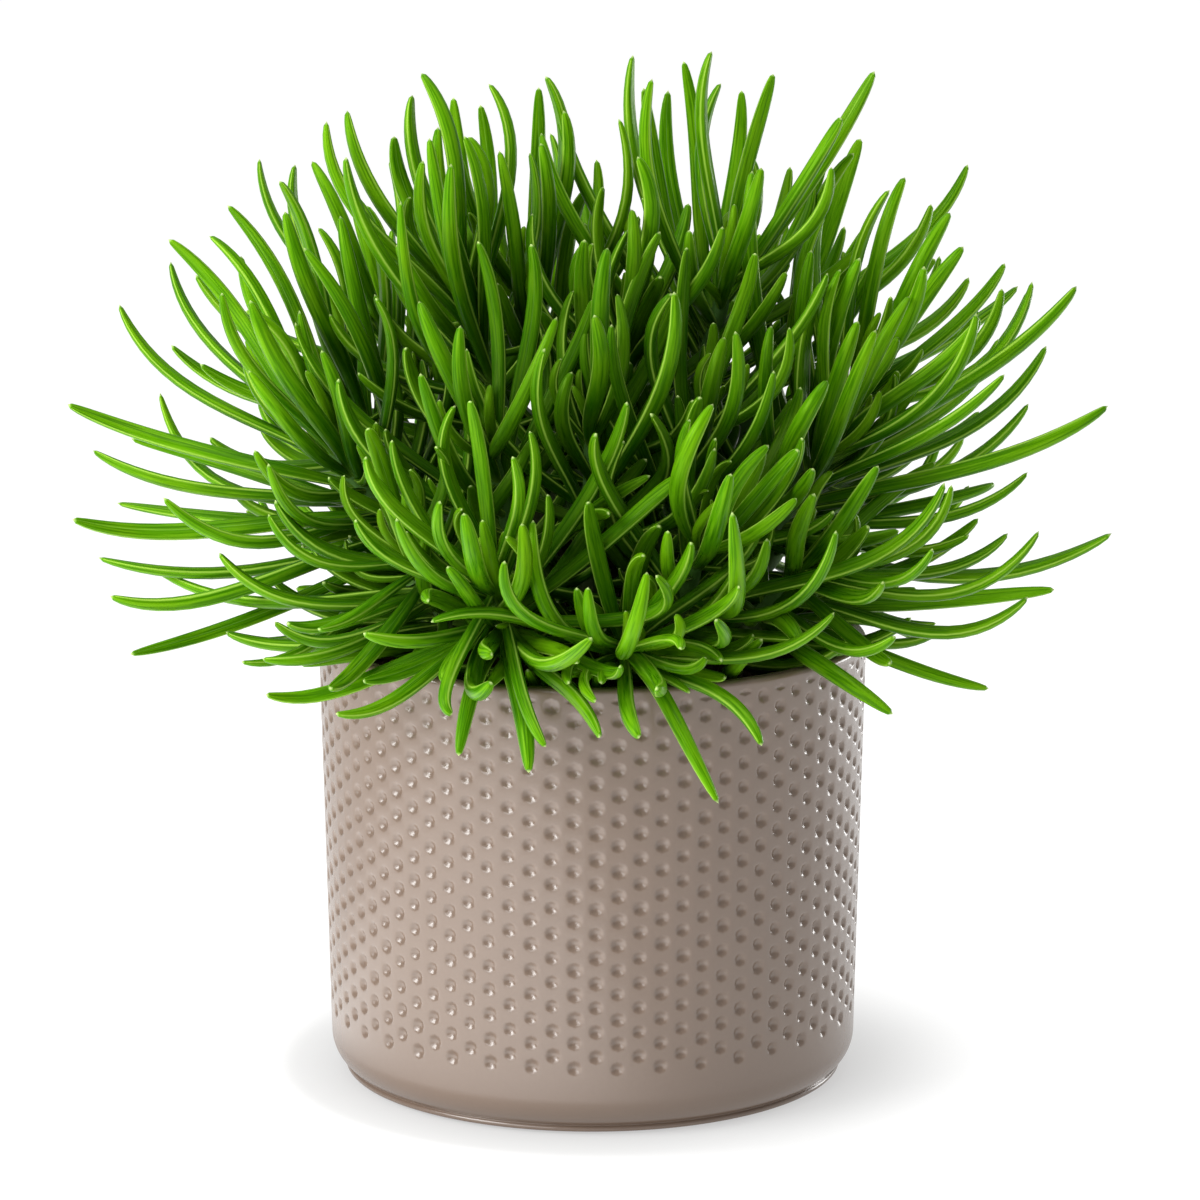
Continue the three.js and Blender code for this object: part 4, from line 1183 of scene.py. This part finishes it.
def leaf_skin():
    """Fleshy leaf: deep green at its root, partly as painted shade, fresh green further out, and
    darker deep in the bush as painted shade. It has fine lines along it, a pale line down its middle,
    pale margins that are partly a translucent edge and partly a painted highlight, and a small pale point."""
    material, tree, shader = new_material("leaf_skin")
    shade = functools.partial(ramp, tree)
    _, _, times = arithmetic(tree)
    along, tint, young, painted_shade_depth = (skin_value(tree, name) for name in ("along", "tint", "young", "painted_shade_depth"))
    section = skin_value(tree, "section", "Vector")
    across = split(tree, section)
    aside = sums(tree, "ABSOLUTE", across["Y"])
    lengthwise = combined(tree, X=times(tint, 37.0), Y=times(tint, 11.0), Z=times(along, 1.1))
    lines = noise(tree, vectors(tree, "ADD", section, lengthwise), LEAF_LINE_SCALE, 2.0, 0.6)
    patches = noise(tree, node(tree, "ShaderNodeTexCoord").outputs["Object"], 60.0)
    middle_line = times(shade(aside, 0.055, 0.01), shade(across["X"], 0.1, 0.3))
    # Each leaf runs from the root colour, which is partly painted shade, to fresh green further out
    colour = blend(tree, shade(along, 0.05, 0.8), LEAF_ROOT_GREEN_AND_SHADE, LEAF_OUTER_COLOUR)
    # Darker leaves, yellow patches, pale and dark lines, the middle line, young growth, painted shade
    # deep in the bush, margins that are partly a painted highlight, the pale root and the point
    for share, other in (
        (sums(tree, "MULTIPLY_ADD", tint, 0.3, 0.3), (0.036, 0.165, 0.001)),
        (shade(patches, 0.45, 0.75, 0.0, 0.4), (0.155, 0.32, 0.002)),
        (shade(lines, 0.5, 0.62, 0.0, 0.55), (0.165, 0.39, 0.008)),
        (shade(lines, 0.5, 0.38, 0.0, 0.6), (0.02, 0.11, 0.001)),
        (times(middle_line, shade(tint, -0.5, 0.5, 0.0, 0.45)), (0.3, 0.55, 0.1)),
        (times(young, 0.55), (0.2, 0.42, 0.004)),
        # Painted shade: leaves turn darker green deep in the bush, where they shade each other
        (times(painted_shade_depth, 0.8), (0.006, 0.04, 0.0005)),
        # Pale margins: partly a translucent edge, and partly a painted highlight along the edge
        (shade(aside, 0.95, 1.0, 0.0, 0.65), (0.42, 0.66, 0.09)),
        (shade(along, 0.14, 0.0, 0.0, 0.4), (0.2, 0.33, 0.05)),
        (shade(along, 0.988, 1.0, 0.0, 0.9), (0.62, 0.76, 0.3)),
    ):
        colour = blend(tree, share, colour, other)
    feed(tree, shader, {
        "Base Color": colour, "Roughness": shade(lines, 0.0, 1.0, 0.22, 0.36, "LINEAR"),
        "IOR": 1.34, "Specular IOR Level": 0.42, "Specular Tint": (0.6, 1.0, 0.1),
        "Normal": bump(tree, 0.5, 0.0003, lines),
    })
    return material


def stem_bark():
    """Thin bark: grey-brown and ringed with old leaf scars low down, green near the crown."""
    material, tree, shader = new_material("stem_bark")
    mottle = noise(tree, node(tree, "ShaderNodeTexCoord").outputs["Object"], 500.0, 3.0, 0.6)
    brown = blend(tree, mottle, (0.025, 0.02, 0.008), (0.075, 0.058, 0.024))
    green = blend(tree, mottle, (0.025, 0.09, 0.006), (0.06, 0.17, 0.014))
    aged = ramp(tree, skin_value(tree, "along"), 0.25, 0.7, way="LINEAR")
    feed(tree, shader, {
        "Base Color": blend(tree, aged, brown, green), "Roughness": 0.7,
        "Normal": bump(tree, 0.5, 0.0003, mottle),
    })
    return material


def inside_of(places):
    """How deep in the bush a place is, from 0 at its outside to 1 at its middle. It paints shade on the
    leaves.
    """
    reach = np.linalg.norm((places - BUSH_CENTRE) / BUSH_REACH, axis=-1)
    return np.clip((INSIDE_FROM - reach) / INSIDE_RANGE, 0, 1)


def stem_line(stem):
    """Places along a stem from its foot in the soil to its crown, with its half widths there."""
    curve, _, reach = stem_curve(stem)
    share = np.linspace(0, 1, STEM_STEPS + 1)
    foot = np.array([[*stem["root"], SOIL_TOP - HOLE_DEPTH]], float)
    places = np.vstack([foot, curve(share)])
    radii = STEM_FOOT_RADIUS + (STEM_CROWN_RADIUS - STEM_FOOT_RADIUS) * share
    scars = 1 + STEM_RING_RELIEF * np.cos(share * STEM_RINGS * 2 * math.pi)
    return places, np.concatenate([[STEM_FOOT_RADIUS], radii * scars]), np.concatenate([[0], share])


def upper_sides(places, hint):
    """Directions across a line on the side of the hint."""
    way = np.gradient(places, axis=0)
    way /= np.linalg.norm(way, axis=1)[:, None]
    across = hint - way * (way @ hint)[:, None]
    return across / np.linalg.norm(across, axis=1)[:, None]


def strand(line, half_width, upper, along, tint, young, woody):
    """What the host mesh keeps at each place of one line."""
    even = np.ones(len(line))
    return {
        "place": line, "half_width": half_width * MM, "upper": upper_sides(line, upper),
        "along": along, "tint": tint * even, "young": young * even, "painted_shade_depth": inside_of(line),
        "woody": woody * even,
    }


def lines_of(stem, own):
    """The host mesh of a leafy stem: one line of edges for the stem and one for each of its leaves."""
    shares = 1 - (1 - np.linspace(0, 1, LEAF_STEPS + 1)) ** LEAF_CROWDING
    late_turn = (shares * (1 - shares) * (2 * shares - 1))[:, None]
    places, radii, stem_share = stem_line(stem)
    strands = [strand(places, radii, np.array([1.0, 0, 0]), stem_share, 0.0, 0.0, 1.0)]
    for leaf, line in zip(own, leaf_points(own, shares)):
        upper = (leaf["root"] + leaf["tip"]) / 2 - leaf["middle"]
        chord = leaf["tip"] - leaf["root"]
        turn = unit(np.cross(chord, upper)) * leaf["sway"] - unit(upper) * leaf["hook"]
        line = line + late_turn * turn * np.linalg.norm(chord)
        half_width = leaf["radius"] * LEAF_BREADTH * leaf_profile(shares, FINE_TIP)
        strands.append(strand(line, half_width, upper, shares, leaf["tint"], leaf["young"], 0.0))
    ends = np.cumsum([len(one["place"]) for one in strands])
    edges = [(i, i + 1) for i in range(ends[-1] - 1) if i + 1 not in set(ends)]
    values = {name: np.concatenate([one[name] for one in strands]) for name in strands[0]}
    host = mesh_object("shoot_" + stem["name"], values.pop("place"), [], edges)
    for name, value in values.items():
        kind, field = ("FLOAT_VECTOR", "vector") if value.ndim == 2 else ("FLOAT", "value")
        layer = host.data.attributes.new(name, kind, "POINT")
        layer.data.foreach_set(field, value.astype(np.float32).ravel())
    return host


for leaf in leaves:
    leaf["tint"] = draw()
for leaf in leaves:
    leaf["hook"] = drawn(LEAF_HOOK)
    leaf["sway"] = LEAF_SWAY * draw()
shoot_tree = leafy_stem_tree()
skin = leaf_skin()
bark = stem_bark()
for index, stem in enumerate(STEMS):
    shoot = lines_of(stem, [leaf for leaf in leaves if leaf["stem"] == index])
    grow(shoot, shoot_tree, {
        "Sides": SECTION_SIDES, "Upper Bulge": LEAF_UPPER, "Lower Bulge": LEAF_LOWER,
        "Groove": LEAF_GROOVE, "Seam": LINE_SEAM, "Leaf": skin, "Bark": bark,
    })
    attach(shoot, "root")
    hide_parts("leafy_stem_" + stem["name"])

# Floor: the pale seamless ground that the pot stands on, which isn't part of the object. It glows
# white further off, as a lit studio sweep does, and most in a patch at the front left, which the
# left half of the glazed wall mirrors.

FLOOR_RADIUS = 14000
FLOOR_DROP = 0.3
FLOOR_SEGMENTS = 96
FLOOR_COLOUR = (0.28, 0.28, 0.28)
FLOOR_GLOW_FROM = 0.06
FLOOR_GLOW_TO = 0.12
FLOOR_GLOW_NEAR = 0.5
FLOOR_GLOW_FAR = 0.88
FLOOR_PATCH_PLACE = (-0.2, -0.17, 0.0)
FLOOR_PATCH_RADIUS = (0.27, 0.17)
FLOOR_PATCH_GLOW = 1.12
FLOOR_PATCH_FROM = 0.082
FLOOR_PATCH_TO = 0.108


def floor_glow(tree):
    """Light of the floor by place: dim near the pot, bright further off, and the bright patch."""
    place = node(tree, "ShaderNodeTexCoord").outputs["Object"]
    reach = vectors(tree, "LENGTH", place).outputs["Value"]
    from_patch = vectors(tree, "DISTANCE", place, FLOOR_PATCH_PLACE).outputs["Value"]
    outwards = ramp(tree, reach, FLOOR_GLOW_FROM, FLOOR_GLOW_TO, FLOOR_GLOW_NEAR, FLOOR_GLOW_FAR)
    patch = ramp(tree, from_patch, *FLOOR_PATCH_RADIUS, 0.0, FLOOR_PATCH_GLOW)
    clear_of_pot = ramp(tree, reach, FLOOR_PATCH_FROM, FLOOR_PATCH_TO)
    return sums(tree, "MULTIPLY_ADD", patch, clear_of_pot, outwards)


floor = turned("floor", [[(FLOOR_RADIUS, -FLOOR_DROP), (0, -FLOOR_DROP)]], FLOOR_SEGMENTS, 0)
floor_material, floor_tree, floor_shader = new_material("pale_floor")
feed(floor_tree, floor_shader, {
    "Base Color": FLOOR_COLOUR, "Roughness": 0.7, "Specular IOR Level": 0.2,
    "Emission Color": (1.0, 1.0, 1.0), "Emission Strength": floor_glow(floor_tree),
})
floor.data.materials.append(floor_material)

# Camera: a long lens about 1.2 m away, looking about 11 degrees down, as in the photograph.

PHOTO_PIXELS = 1200
FOCAL_PIXELS = 4500
PHOTO_AXIS_PIXEL = 592.6
SENSOR_WIDTH = 36
AIM_HEIGHT = 130.5
AIM_DISTANCE = 1233
LOOKING_DOWN = math.radians(11.1)

aside = (PHOTO_PIXELS / 2 - PHOTO_AXIS_PIXEL) * AIM_DISTANCE / FOCAL_PIXELS
camera_data = bpy.data.cameras.new("camera")
camera_data.sensor_width = SENSOR_WIDTH
camera_data.lens = FOCAL_PIXELS / PHOTO_PIXELS * SENSOR_WIDTH
camera_data.clip_end = 100
camera = bpy.data.objects.new("camera", camera_data)
bpy.context.scene.collection.objects.link(camera)
aim = Vector((aside, 0, AIM_HEIGHT))
back = Vector((0, -math.cos(LOOKING_DOWN), math.sin(LOOKING_DOWN)))
camera.location = (aim + back * AIM_DISTANCE) * MM
camera.rotation_euler = (math.pi / 2 - LOOKING_DOWN, 0, 0)
bpy.context.scene.camera = camera

# Light: a white studio with a key light at the upper left, a wide fill low at the front left, a soft
# one above, and a small one low at the rear right that glints in the dimples.

# Each light's place and what it faces, its width and height, all in metres, and its radiance in
# watts per square metre and steradian
LIGHTS = {
    "key": ((-0.76, -0.42, 0.62), (0, 0, 0.12), (0.5, 0.42), 9.5),
    "fill": ((-0.85, -0.95, 0.45), (0, 0, 0.08), (1.1, 0.7), 3.0),
    "top": ((-0.1, -0.2, 1.7), (0, 0, 0.2), (1.2, 1.2), 3.0),
    "edge": ((0.7, 0.5, 0.15), (0, 0, 0.06), (0.22, 0.26), 10.0),
}
STUDIO_GLOW = 0.4

for name, (place, target, size, radiance) in LIGHTS.items():
    data = bpy.data.lights.new(name, "AREA")
    data.shape = "RECTANGLE"
    data.size, data.size_y = size
    data.energy = radiance * math.pi * size[0] * size[1]
    light = bpy.data.objects.new(name, data)
    light.location = place
    light.rotation_euler = (Vector(target) - Vector(place)).to_track_quat("-Z", "Y").to_euler()
    light.visible_camera = False
    bpy.context.scene.collection.objects.link(light)

world = bpy.data.worlds.new("studio")
bpy.context.scene.world = world
world.use_nodes = True
background = world.node_tree.nodes["Background"].inputs
background["Color"].default_value = (1.0, 1.0, 1.0, 1.0)
background["Strength"].default_value = STUDIO_GLOW
bpy.context.scene.view_settings.view_transform = "Standard"
bpy.context.scene.view_settings.look = "None"
